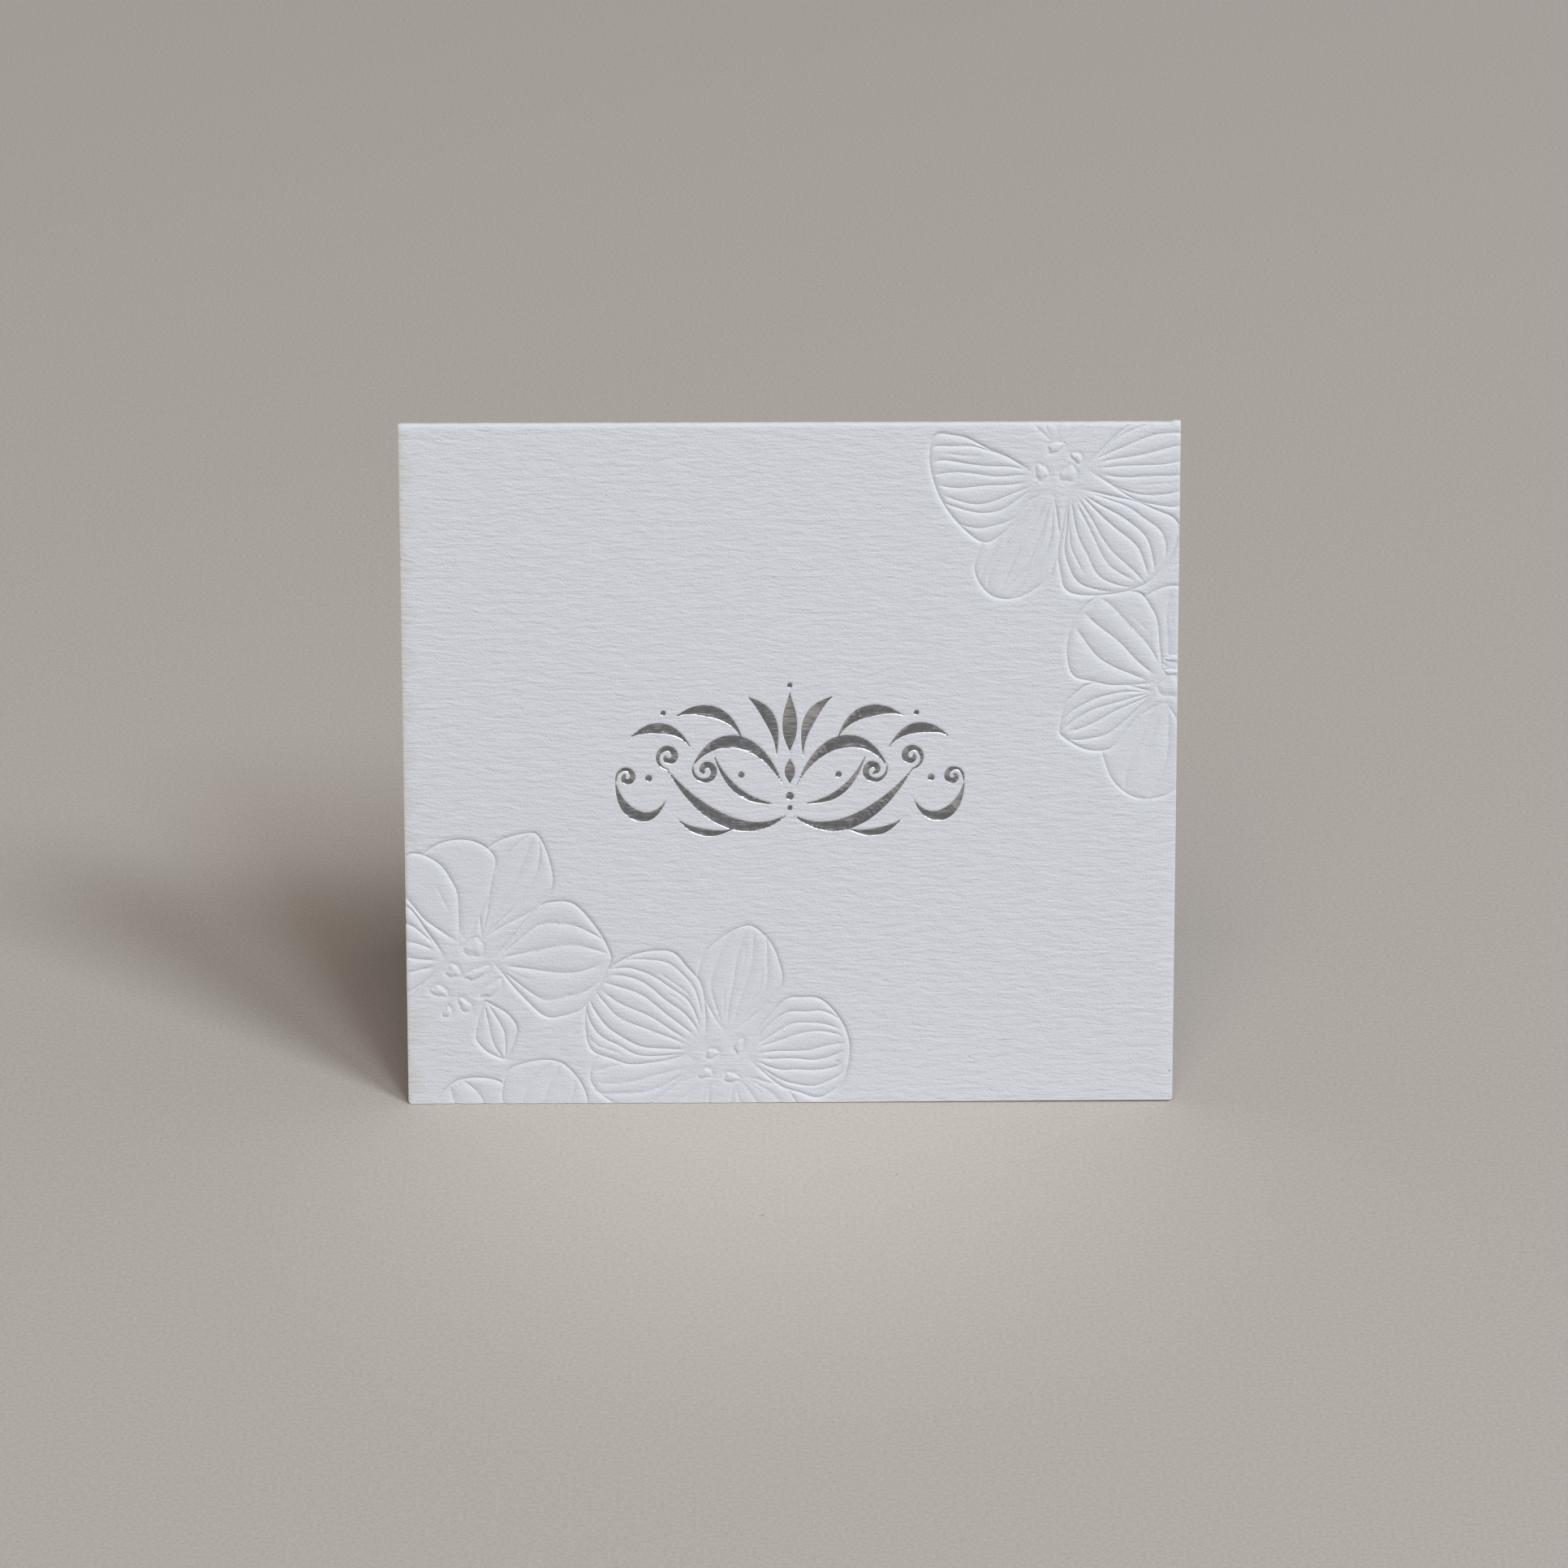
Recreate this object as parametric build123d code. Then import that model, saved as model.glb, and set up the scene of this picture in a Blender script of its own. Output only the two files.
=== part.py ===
from build123d import *
from collections import namedtuple
import math
import os

# Driving sizes of the folded card, in millimetres and degrees.
card_width = 140.0
panel_height = 127.0
board_thickness = 0.4
fold_inner_radius = 0.4
panel_lean = 14.0
foot_corner_radius = 0.6

# Driving sizes of the blossoms pressed into the front panel.
press_depth = 0.16
crown_depth = 0.03
wall_draft = 0.1
vein_width = 0.5
bead_radius = 1.5
bead_top_radius = 0.9
bead_ring_turn = 45.0

# The form of a petal and its veins, as shares of the petal's length or width.
petal_swell = 0.3
vein_begin = 0.2
vein_begin_spread = 0.3
vein_bend = 0.55
vein_bend_spread = 0.68
vein_end = 0.93
vein_end_spread = 0.36
vein_end_drop = 0.13

# Sizes that follow from them.
lean = math.radians(panel_lean)
fold_outer_radius = fold_inner_radius + board_thickness
flat_length = panel_height - fold_outer_radius
fold_centre_height = flat_length * math.cos(lean) - fold_inner_radius * math.sin(lean)
press_foot_gap = press_depth * math.tan(lean)
left_edge = -card_width / 2
right_edge = card_width / 2
fold_line = flat_length
floor_level = -press_depth
crown_level = -crown_depth
bead_height = crown_level - floor_level

# A petal starts at a distance from its blossom's centre and points along its heading, in degrees.
# Blossoms are placed across and up the front panel from the middle of its foot, and keep their
# distance from the nearest side and from the foot or the fold. The first blossoms lie over the
# later ones, and so do the first petals of a blossom.
Petal = namedtuple("Petal", "heading start length width veins")
Blossom = namedtuple("Blossom", "across up heart beads petals")

blossoms = [
    Blossom(right_edge - 21.5, fold_line - 8.2, 4.5, 4, [
        Petal(188, 3.5, 18.5, 19.0, 3),
        Petal(303, 3.5, 22.5, 19.0, 4),
        Petal(247, 3.5, 21.0, 13.5, 2),
        Petal(2, 4.0, 24.0, 20.0, 2),
        Petal(92, 4.0, 18.0, 15.0, 1),
    ]),
    Blossom(right_edge - 1.2, fold_line - 48.2, 3.0, 1, [
        Petal(140, 2.0, 20.0, 17.5, 3),
        Petal(204, 2.0, 19.5, 12.5, 3),
        Petal(95, 3.0, 16.0, 12.0, 1),
        Petal(250, 2.5, 18.5, 14.5, 3),
    ]),
    Blossom(left_edge + 11.5, 27.0, 4.0, 3, [
        Petal(-1, 3.5, 21.5, 22.5, 3),
        Petal(176, 3.5, 18.0, 21.0, 3),
        Petal(101, 4.0, 19.0, 15.5, 2),
        Petal(60, 4.0, 21.5, 12.5, 2),
        Petal(-60, 6.0, 13.5, 7.0, 1),
    ]),
    Blossom(left_edge + 57.5, 8.5, 4.5, 4, [
        Petal(148, 4.0, 22.0, 21.0, 4),
        Petal(10, 4.0, 19.0, 19.5, 4),
        Petal(79, 4.5, 21.0, 14.5, 2),
        Petal(228, 4.0, 14.0, 12.0, 1),
        Petal(306, 4.0, 14.0, 11.0, 1),
    ]),
    Blossom(left_edge + 18.0, -12.0, 4.0, 1, [
        Petal(60, 3.5, 18.0, 15.5, 2),
        Petal(112, 3.5, 14.5, 13.0, 2),
    ]),
]


def board_surface(radius):
    """Half the profile of one side of the board, from the crown of the fold to the back foot."""
    crown = Vector(0, fold_centre_height + radius)
    bend_end = Vector(radius * math.cos(lean), fold_centre_height + radius * math.sin(lean))
    foot = bend_end + Vector(math.sin(lean), -math.cos(lean)) * flat_length
    return crown, bend_end, foot


def folded_section():
    """The board in profile, seen along the fold: two leaning panels joined by a round bend."""
    with BuildSketch(Plane.YZ) as section:
        with BuildLine():
            for radius in (fold_inner_radius, fold_outer_radius):
                crown, bend_end, foot = board_surface(radius)
                RadiusArc(crown, bend_end, radius)
                Line(bend_end, foot)
            Line(board_surface(fold_inner_radius)[2], board_surface(fold_outer_radius)[2])
            mirror(about=Plane.YZ)
        make_face()
    return section.sketch


def folded_sheet():
    """One sheet of board folded in half, standing as a tent on its two cut edges."""
    sheet = extrude(folded_section(), amount=card_width / 2, both=True)
    cut_edges = sheet.edges().filter_by(GeomType.LINE)
    foot_corners = [edge for edge in cut_edges if abs(edge.length - board_thickness) < 1e-6]
    return fillet(foot_corners, foot_corner_radius)


def front_plane():
    """The outer face of the front panel: x across, y up the panel from its foot, z towards the viewer."""
    foot = board_surface(fold_outer_radius)[2]
    return Plane(origin=(0, -foot.X, foot.Y), x_dir=(1, 0, 0), z_dir=(0, -math.cos(lean), math.sin(lean)))


def petal_outline(petal, grow, level):
    """A petal at one level, widest past its middle and round at its tip, made larger all round by grow."""
    curve_fullness = 0.75
    base = (-grow, 0, level)
    tip = (petal.length + grow, 0, level)
    sides = []
    for side in (-1, 1):
        reach = side * (petal.width / 2 + grow) / curve_fullness
        swell = (petal_swell * petal.length, reach, level)
        shoulder = (petal.length + grow, reach, level)
        sides.append(Bezier(base, swell, shoulder, tip))
    return make_face(sides)


def vein_outline(petal, share, grow, level):
    """A vein's long lens at one level, at a share of the petal's half width, made larger by grow."""
    begin = (vein_begin * petal.length - grow, vein_begin_spread * share * petal.width, level)
    end_along = (vein_end - vein_end_drop * abs(share)) * petal.length
    end = (end_along + grow, vein_end_spread * share * petal.width, level)
    bend_across = vein_bend_spread * share * petal.width
    sides = []
    for side in (-1, 1):
        bend = (vein_bend * petal.length, bend_across + side * (vein_width + 2 * grow), level)
        sides.append(Bezier(begin, bend, end))
    return make_face(sides)


def pressed_petal(petal):
    """The hollow that one petal presses into the face of the board, with drafted walls."""
    floor = petal_outline(petal, 0, floor_level)
    rim = petal_outline(petal, wall_draft, 0)
    return loft([floor, rim], ruled=True)


def petal_pillow(petal):
    """The body of a petal, which stands up again inside its pressed outline."""
    foot = petal_outline(petal, 0, floor_level)
    crown = petal_outline(petal, -wall_draft, crown_level)
    return loft([foot, crown], ruled=True)


def petal_veins(petal):
    """The tapering grooves that run lengthways through a petal's body."""
    veins = []
    for number in range(petal.veins):
        share = 2 * (number + 1) / (petal.veins + 1) - 1
        floor = vein_outline(petal, share, 0, floor_level)
        rim = vein_outline(petal, share, wall_draft, crown_level)
        veins.append(loft([floor, rim], ruled=True))
    return veins


def pressed_heart(blossom):
    """The round hollow in the middle of a blossom, where its petals meet."""
    floor = Pos(0, 0, floor_level) * Circle(blossom.heart)
    rim = Circle(blossom.heart + wall_draft)
    return loft([floor, rim], ruled=True)


def heart_bead():
    """One low round bead of a blossom's middle, standing on the floor of the heart, its top pressed flat."""
    stand = (Align.CENTER, Align.CENTER, Align.MIN)
    return Pos(0, 0, floor_level) * Cone(bead_radius, bead_top_radius, bead_height, align=stand)


def bead_ring(blossom):
    """The beads of a blossom's middle: one at its centre, or several spaced evenly round it."""
    ring_radius = 0 if blossom.beads < 2 else blossom.heart - bead_radius - wall_draft
    turns = [bead_ring_turn + 360 * number / blossom.beads for number in range(blossom.beads)]
    return [Rot(0, 0, turn) * Pos(ring_radius, 0) * heart_bead() for turn in turns]


def blossom_relief(blossom):
    """One blossom in its own place: its hollow, the bodies in the hollow, and their beads and veins."""
    hollow = Part() + pressed_heart(blossom)
    bodies, beads, veins = Part(), Part() + bead_ring(blossom), Part()
    for petal in blossom.petals:
        base = Rot(0, 0, petal.heading) * Pos(petal.start, 0)
        body = base * petal_pillow(petal) - hollow
        bodies += body
        veins += [body & base * vein for vein in petal_veins(petal)]
        hollow += base * pressed_petal(petal)
    return hollow, bodies, beads, veins


def flat_panel():
    """The room that relief may take up: the flat part of the front panel, from cut edge to cut edge."""
    height = flat_length - press_foot_gap
    middle = Pos(0, press_foot_gap + height / 2)
    return middle * Box(card_width, height, 4 * board_thickness)


def embossed(sheet):
    """The sheet with its petals pressed through to the inside, and beads and veins in the front only."""
    room = flat_panel()
    hollows, bodies, beads, veins = Part(), Part(), Part(), Part()
    for blossom in blossoms:
        place = Pos(blossom.across, blossom.up)
        hollow, body, bead, vein = [place * form for form in blossom_relief(blossom)]
        bodies += body - hollows
        beads += bead - hollows
        veins += vein
        hollows += hollow
    outside = front_plane()
    inside = outside.offset(-board_thickness)
    pressed = sheet - outside * (hollows & room) + inside * (hollows & room)
    return pressed + outside * ((bodies + beads) & room) - inside * (bodies & room) - outside * (veins & room)


card = embossed(folded_sheet())
card.label = "card"
os.makedirs("parts", exist_ok=True)
export_step(card, "parts/card.step")
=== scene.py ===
import math
from collections import namedtuple

import bpy
import numpy as np
from bpy.props import FloatProperty, FloatVectorProperty, IntProperty, PointerProperty
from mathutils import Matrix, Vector, kdtree
from mathutils.geometry import delaunay_2d_cdt


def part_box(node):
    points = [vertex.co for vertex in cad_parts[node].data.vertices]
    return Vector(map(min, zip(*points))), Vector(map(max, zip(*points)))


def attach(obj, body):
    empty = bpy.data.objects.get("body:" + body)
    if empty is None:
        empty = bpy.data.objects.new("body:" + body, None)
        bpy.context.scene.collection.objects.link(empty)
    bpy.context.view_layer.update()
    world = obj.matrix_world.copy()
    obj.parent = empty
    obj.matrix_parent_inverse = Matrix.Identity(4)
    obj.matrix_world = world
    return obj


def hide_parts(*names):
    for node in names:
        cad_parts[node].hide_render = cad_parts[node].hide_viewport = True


bl_info = {
    "name": "Greeting Card",
    "version": (1, 0, 0),
    "blender": (4, 5, 0),
    "location": "3D View > Sidebar > Greeting Card",
    "description": "Makes a folded card with pressed blossoms and a foil flourish, and its stage",
    "category": "Add Mesh",
}

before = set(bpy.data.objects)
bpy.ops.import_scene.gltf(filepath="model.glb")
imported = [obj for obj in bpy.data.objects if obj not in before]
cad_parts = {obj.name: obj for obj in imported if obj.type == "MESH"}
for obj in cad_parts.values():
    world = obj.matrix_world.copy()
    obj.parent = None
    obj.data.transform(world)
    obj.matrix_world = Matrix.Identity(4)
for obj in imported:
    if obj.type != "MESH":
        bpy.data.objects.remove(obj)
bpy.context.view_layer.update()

MM = 0.001

# A petal starts at a distance from its blossom's centre and points along its heading, in degrees.
# Lengths are in millimetres. Widest is where along its length it is widest, blunt is how full its tip is,
# bend is how far its tip sweeps to the left, as a share of its length. Its veins gather at the tip (1)
# or fan out to its rim (0). Depth is its share of the full press.
Petal = namedtuple("Petal", "heading start length width widest blunt bend veins fine gather depth")

# A lump in a blossom's middle: its place from the centre, its length and width, and the way it points.
Lump = namedtuple("Lump", "x y length width turn")

# A blossom keeps its distance from one side and from the foot or the fold of the front panel.
# Its first petals lie over the later ones, and the first blossoms over the later ones.
Blossom = namedtuple("Blossom", "side inset end rise heart lumps petals")

BLOSSOMS = [
    Blossom("right", 21.5, "fold", 8.2, 4.6, [
        Lump(-0.9, 4.2, 3.2, 2.0, 20),
        Lump(2.9, 2.3, 2.6, 1.7, -40),
        Lump(-3.4, -0.4, 3.2, 2.4, 110),
        Lump(1.5, -0.7, 3.4, 2.8, 30),
    ], [
        Petal(198, 4.0, 18.2, 20.5, 0.70, 0.46, -0.26, 7, 6, 0.45, 1.0),
        Petal(302, 4.0, 22.0, 22.5, 0.64, 0.62, 0.10, 7, 6, 0.90, 1.0),
        Petal(246, 4.0, 22.0, 13.8, 0.64, 0.54, -0.06, 5, 10, 0.55, 0.9),
        Petal(6, 4.5, 24.0, 19.0, 0.66, 0.55, 0.04, 6, 9, 0.35, 0.9),
        Petal(92, 4.5, 18.0, 15.0, 0.60, 0.60, 0.0, 3, 3, 0.7, 0.6),
    ]),
    Blossom("right", 1.4, "fold", 48.2, 2.8, [
        Lump(0.2, 0.0, 4.6, 3.9, 0),
        Lump(0.6, 2.8, 3.6, 1.1, 0),
        Lump(0.9, 5.2, 3.8, 1.3, -6),
    ], [
        Petal(141, 2.4, 19.0, 18.5, 0.64, 0.48, -0.06, 3, 1, 0.30, 1.0),
        Petal(201, 2.4, 19.2, 12.5, 0.62, 0.80, 0.05, 4, 1, 0.85, 1.0),
        Petal(84, 3.2, 15.5, 15.0, 0.60, 0.55, 0.05, 2, 1, 0.5, 0.8),
        Petal(254, 3.0, 18.5, 15.5, 0.62, 0.55, 0.0, 2, 1, 0.35, 0.7),
    ]),
    Blossom("left", 11.5, "foot", 27.0, 4.0, [
        Lump(0.9, 2.6, 3.8, 3.4, 20),
        Lump(-3.0, -1.8, 2.7, 2.6, 0),
        Lump(1.3, -2.2, 5.0, 1.9, 24),
        Lump(4.0, -5.2, 5.0, 2.0, 38),
        Lump(-5.6, -5.6, 3.4, 2.1, -15),
        Lump(-1.0, -8.2, 3.2, 2.0, -50),
        Lump(-4.2, -9.6, 2.2, 1.6, 60),
    ], [
        Petal(0, 4.2, 21.6, 22.5, 0.58, 0.80, 0.03, 4, 1, 0.80, 1.0),
        Petal(118, 4.4, 18.5, 9.0, 0.62, 0.60, 0.0, 0, 1, 0.40, 1.0),
        Petal(98, 4.4, 18.6, 14.5, 0.70, 0.48, -0.02, 0, 2, 0.40, 0.9),
        Petal(176, 4.4, 18.5, 21.5, 0.62, 0.60, 0.0, 5, 2, 0.40, 1.0),
        Petal(62, 4.6, 22.4, 13.5, 0.62, 0.75, 0.02, 3, 3, 0.90, 0.85),
        Petal(-70, 8.0, 11.5, 7.4, 0.55, 0.80, -0.05, 2, 1, 0.9, 0.9),
    ]),
    Blossom("left", 57.5, "foot", 8.5, 4.8, [
        Lump(-1.9, 0.9, 2.6, 1.9, 25),
        Lump(3.0, 2.3, 3.0, 1.7, 75),
        Lump(-3.1, -2.9, 2.8, 1.9, 20),
        Lump(1.7, -3.7, 2.9, 1.9, -5),
    ], [
        Petal(145, 4.6, 22.6, 24.0, 0.57, 0.58, 0.06, 8, 6, 0.80, 1.0),
        Petal(8, 4.6, 18.8, 20.0, 0.62, 0.55, -0.02, 7, 6, 0.80, 1.0),
        Petal(79, 5.0, 20.6, 14.8, 0.56, 0.64, -0.02, 4, 9, 0.70, 0.75),
        Petal(189, 5.0, 19.5, 13.0, 0.60, 0.55, 0.0, 4, 4, 0.45, 0.7),
        Petal(228, 4.4, 14.5, 12.5, 0.60, 0.60, 0.0, 3, 4, 0.5, 0.6),
        Petal(306, 4.4, 14.5, 12.0, 0.60, 0.60, 0.0, 3, 4, 0.5, 0.6),
    ]),
    Blossom("left", 18.0, "foot", -12.0, 4.0, [], [
        Petal(61, 3.5, 18.6, 16.0, 0.62, 0.60, 0.03, 3, 2, 0.7, 0.8),
        Petal(118, 3.5, 15.2, 14.0, 0.62, 0.60, 0.05, 2, 2, 0.6, 0.9),
    ]),
]

# One stroke of the flourish's right half: a curve through two bending points, its widest half width
# and how far along it is widest. Places are in millimetres from the flourish's middle.
Stroke = namedtuple("Stroke", "start first second end half_width widest")

# A spiral that ends a stroke: its middle, its outer and inner radius, where it starts and its turns.
Spiral = namedtuple("Spiral", "x y outer inner start turns half_width")

STROKES = [
    Stroke((0.5, -9.5), (9.0, -15.5), (17.5, -8.0), (22.2, -1.0), 1.05, 0.45),
    Stroke((1.2, -4.0), (6.0, 6.5), (14.0, 6.0), (17.6, -0.4), 1.1, 0.5),
    Stroke((22.5, -6.8), (25.5, -12.5), (31.0, -9.5), (31.6, -3.2), 0.9, 0.5),
    Stroke((3.0, -7.4), (9.5, -7.0), (12.0, -2.5), (13.6, 1.2), 0.5, 0.4),
    Stroke((8.6, 4.6), (10.5, 9.8), (16.0, 11.2), (20.4, 9.0), 1.0, 0.55),
    Stroke((18.0, 3.2), (20.5, 7.2), (25.0, 7.6), (28.6, 5.2), 0.9, 0.55),
    Stroke((2.4, 1.6), (2.2, 7.0), (4.0, 10.4), (7.6, 12.4), 0.95, 0.55),
    Stroke((10.6, -12.2), (14.0, -13.6), (17.6, -12.8), (20.0, -10.6), 0.6, 0.5),
]

# Round beads of the right half and the middle: their place and radius, in millimetres.
BEADS = [
    (0.0, -6.0, 0.75),
    (0.0, -8.2, 0.5),
    (0.0, 14.6, 0.5),
    (25.6, -2.6, 0.65),
    (8.8, -2.0, 0.6),
    (22.9, 9.5, 0.5),
]

SPIRALS = [
    Spiral(22.0, 1.4, 2.4, 0.5, -85, 1.25, 0.5),
    Spiral(15.2, -1.2, 2.5, 0.5, 18, -1.2, 0.5),
    Spiral(29.6, -2.4, 2.0, 0.4, -20, 1.2, 0.42),
]

CENTRE_LEAVES = [
    Stroke((0.0, 2.6), (0.0, 6.4), (0.0, 10.2), (0.0, 13.2), 1.25, 0.42),
    Stroke((0.0, -3.6), (0.0, -2.0), (0.0, -0.6), (0.0, 0.9), 0.85, 0.5),
]

# Nicks in the left cut edge: how far up the front panel they are and how deep, in millimetres.
EDGE_NICKS = [(102.0, 0.14), (34.6, 0.12)]
NICK_REACH = 0.6 * MM

# Small dark specks: their place on the flat sheet or on the floor and their half sizes, in millimetres.
STOCK_SPECKS = [
    (-32.9, 113.7, 0.14, 0.14),
    (32.8, 8.8, 0.13, 0.11),
    (69.4, 5.9, 0.2, 0.16),
    (8.8, 8.1, 0.55, 0.07),
]
FLOOR_SPECKS = [(-5.3, -70.3, 0.24, 0.2), (18.9, -56.6, 0.2, 0.18)]
SPECK_DARKNESS = 0.45

# Painted light: the floor is lighter in a soft pool in front of the card, where the card throws light down,
# and darker away from it. Its middle and reach, in metres.
PAINTED_LIGHT_POOL = (0.0, -0.055, 0.0)
PAINTED_LIGHT_POOL_REACH = (0.11, 0.11, 1.0)

# A square soft lamp that faces the card from a direction in degrees, azimuth 0 being on +X.
# Its distance and its side are in metres, its power in watts.
Lamp = namedtuple("Lamp", "name azimuth elevation distance side power colour")

LAMPS = [
    Lamp("right_lamp", -33, 50, 5.0, 1.2, 109.0, (0.87, 0.94, 1.0)),
    Lamp("front_lamp", -62, 49, 5.0, 0.9, 50.0, (0.76, 0.92, 1.0)),
    Lamp("high_lamp", -90, 60, 5.0, 3.0, 90.0, (0.95, 0.82, 0.72)),
    Lamp("side_lamp", 0, 60, 5.0, 3.0, 14.0, (1.0, 1.0, 0.90)),
]
LAMP_TARGET = Vector((0, 0, 0.05))

# A valley between two pillows: the share of its depth that is a wide slope, and its sharp floor's width.
VALLEY_SLOPE = 0.64
VALLEY_FLOOR = 0.3 * MM

# A lump against a petal: how deep its groove is, how high it stands, and its shoulder as a share of its
# half width. A wave of its outline is how often it turns, how far it is shifted and its size.
LUMP_DEPTH = 0.35
LUMP_LIFT = 7.0
LUMP_SHOULDER = 0.75
LUMP_WAVES = [(3, 1, 0.12), (5, 2, 0.06)]

# A wave of a petal's outline: how quickly it turns along the petal, and its share of the half width.
PETAL_WAVES = [(7.5, 0.045), (19, 0.022)]

# Ranges that a petal's veins are drawn from. A main vein's shift is a share of the gap between two, and a
# fine vein's place and reach are shares of the half width. Starts, ends and lengths are shares of the
# petal's length, and depths are shares of its own depth.
MAIN_VEIN_SHIFT = (-0.2, 0.2)
MAIN_VEIN_DEPTH = (0.75, 1.0)
MAIN_VEIN_START = (0.0, 0.08)
MAIN_VEIN_END = (0.95, 1.05)
FINE_VEIN_PLACE = (-0.92, 0.92)
FINE_VEIN_START = (0.0, 0.45)
FINE_VEIN_LENGTH = (0.3, 0.55)
FINE_VEIN_DEPTH = (0.25, 0.6)
FINE_VEIN_REACH = 0.2
VEIN_FADE_IN = 0.14
VEIN_FADE_OUT = 0.12
VEIN_SWAY = 0.03

# The relief fades in between these shares of a blossom's heart, and a petal's lift over a distance from the
# foot. The felt marking is ironed to a distance outside an outline.
HEART_FADE = (0.9, 1.9)
FOOT_FADE = 2 * MM
IRONED_REACH = 1.2 * MM

# A stamped slope runs from inside a stroke's edge to outside it, as shares of its own width.
STAMP_SLOPE = (-0.15, 0.85)
STROKE_THINNEST = 0.02 * MM
STROKE_EDGE_STEP = 0.3 * MM
STROKE_EDGE_TOLERANCE = 0.015 * MM

# The film lies clear of the board by this share of its own thickness.
FILM_CLEARANCE = 0.4

# Rows of mesh points: beside an outline and a vein in millimetres, beside a vein at shares of its reach,
# and round a stroke at multiples of its slope's width. Rows beside a vein have slightly wider steps.
OUTLINE_ROWS = (-0.13, 0.13, -0.35, 0.35, -0.65, 0.65, 1.0, -1.0)
VEIN_ROWS = (-0.12, 0.12, -0.3, 0.3)
VEIN_REACH_ROWS = (-1, -0.6, 0.6, 1)
VEIN_ROW_STEP = 1.2
STAMP_ROWS = (2, 4, 8)

# The mesh: how far lines and loose points keep from the edges, how close loose points may lie, and the
# grids over the blossoms with how far past an outline they go.
LINE_MARGIN = 0.3 * MM
LOOSE_MARGIN = 0.25 * MM
OUTER_GAP = 0.16 * MM
INNER_GAP = 0.3 * MM
OUTER_GRID = 1.0 * MM
OUTER_GRID_REACH = 1.2 * MM
INNER_GRID = 1.1 * MM
INNER_GRID_REACH = 1.5 * MM
PLAIN_GRID = 5 * MM
PANEL_TOLERANCE = 0.001 * MM
SMOOTH_ANGLE = math.radians(50)

# The inside shows a softer relief and a little less of the crease.
INSIDE_SOFTNESS = 1.6
INSIDE_CROWN = 0.8

# A wave of the fibres along the fold: its turn for each millimetre, its start and its weight.
# The nub fades out between two distances from the right edge, and the crushed sides over one distance.
CROWN_WAVES = [(0.9, 0.0, 1.0), (2.3, 1.0, 1.0), (5.1, 2.0, 0.7)]
CROWN_NUB_REACH = (1.2 * MM, 1.9 * MM)
EDGE_CRUSH_REACH = 0.35 * MM

# A warm tint is painted along the left cut edge, over a distance from it, as a highlight where that edge
# catches the light, and as painted shade on the fold's crest, where it turns away from the lamps; the crest
# rises and falls at shares of the bend.
PAINTED_EDGE_LIGHT = 0.9
PAINTED_EDGE_LIGHT_REACH = (0.1 * MM, 0.5 * MM)
PAINTED_CREST_SHADE = 0.55
CREST_RISE = (0.30, 0.46)
CREST_FALL = (0.8, 0.95)

# The front foot's lift grows across the width and fades up the panel, as shares of each. A pressed foot is
# drawn up off the floor over the last distance.
FOOT_LIFT_ACROSS = (-0.15, 0.5)
FOOT_LIFT_UP = 0.8
FOOT_CLEAR_REACH = 3 * MM

# Least numbers are passed on round a fan of triangles this often, enough for every fan of the film.
FAN_PASSES = 16


def millimetres(name, description, value):
    """A length property, its default given in millimetres."""
    return FloatProperty(name=name, description=description, default=value * MM, unit="LENGTH", precision=5)


def degrees(name, description, value):
    """An angle property, its default given in degrees."""
    return FloatProperty(name=name, description=description, default=math.radians(value), subtype="ANGLE",
                         unit="ROTATION")


def tint(name, description, value):
    """A colour property."""
    return FloatVectorProperty(name=name, description=description, subtype="COLOR", default=value)


class CardSheetSizes(bpy.types.PropertyGroup):
    """The board, its fold and the small ways in which a real sheet isn't true."""
    board_thickness: millimetres("Board thickness", "Thickness of the card stock", 0.4)
    fold_inner_radius: millimetres("Fold inner radius", "Radius inside the fold", 0.4)
    corner_radius: millimetres("Corner radius", "Rounding of the sheet's four corners", 0.6)
    crown_flattening: millimetres("Crown flattening", "How far the crease is pressed flat", 0.30)
    crown_roughness: millimetres("Crown roughness", "Uneven height of the fibres along the fold", 0.05)
    edge_crush: millimetres("Edge crush", "How far the knife has pressed down the sides", 0.08)
    crown_nub: millimetres("Crown nub", "Swelling of the crease at its right end", 0.28)
    foot_lift: millimetres("Foot lift", "How far the front foot's right end is off the floor", 0.3)
    lean: degrees("Panel lean", "Angle of each panel from upright", 14)


class BlossomSizes(bpy.types.PropertyGroup):
    """How deep the blossoms are pressed and how finely they are meshed."""
    press_depth: millimetres("Press depth", "Depth of a petal's outline below the card's face", 0.28)
    pillow_lift: millimetres("Pillow lift", "Height of a petal's fullest places above the card's face", 0.03)
    rim_width: millimetres("Rim width", "How far outside an outline the card's face starts to fall", 0.65)
    pillow_width: millimetres("Pillow width", "How far inside an outline a petal is at its full height", 1.3)
    mesh_step: millimetres("Mesh step", "Spacing of points along an outline or a vein", 0.5)
    seed: IntProperty(name="Seed", description="Sets the places and depths of the veins", default=11)


class FoilSizes(bpy.types.PropertyGroup):
    """The stamped flourish."""
    rise: millimetres("Rise", "Height of the flourish's middle above the card's foot, up the panel", 64.0)
    hairline: millimetres("Hairline", "Half width of a stroke's thin ends", 0.10)
    deboss: millimetres("Deboss", "How deep the foil is stamped", 0.08)
    wall: millimetres("Wall", "Width of the slope round a stamped stroke", 0.15)
    shift: millimetres("Shift", "How far the foil lies to the lower left of its stamped hollow", 0.05)
    film: millimetres("Film", "Thickness of the foil", 0.012)


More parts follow.
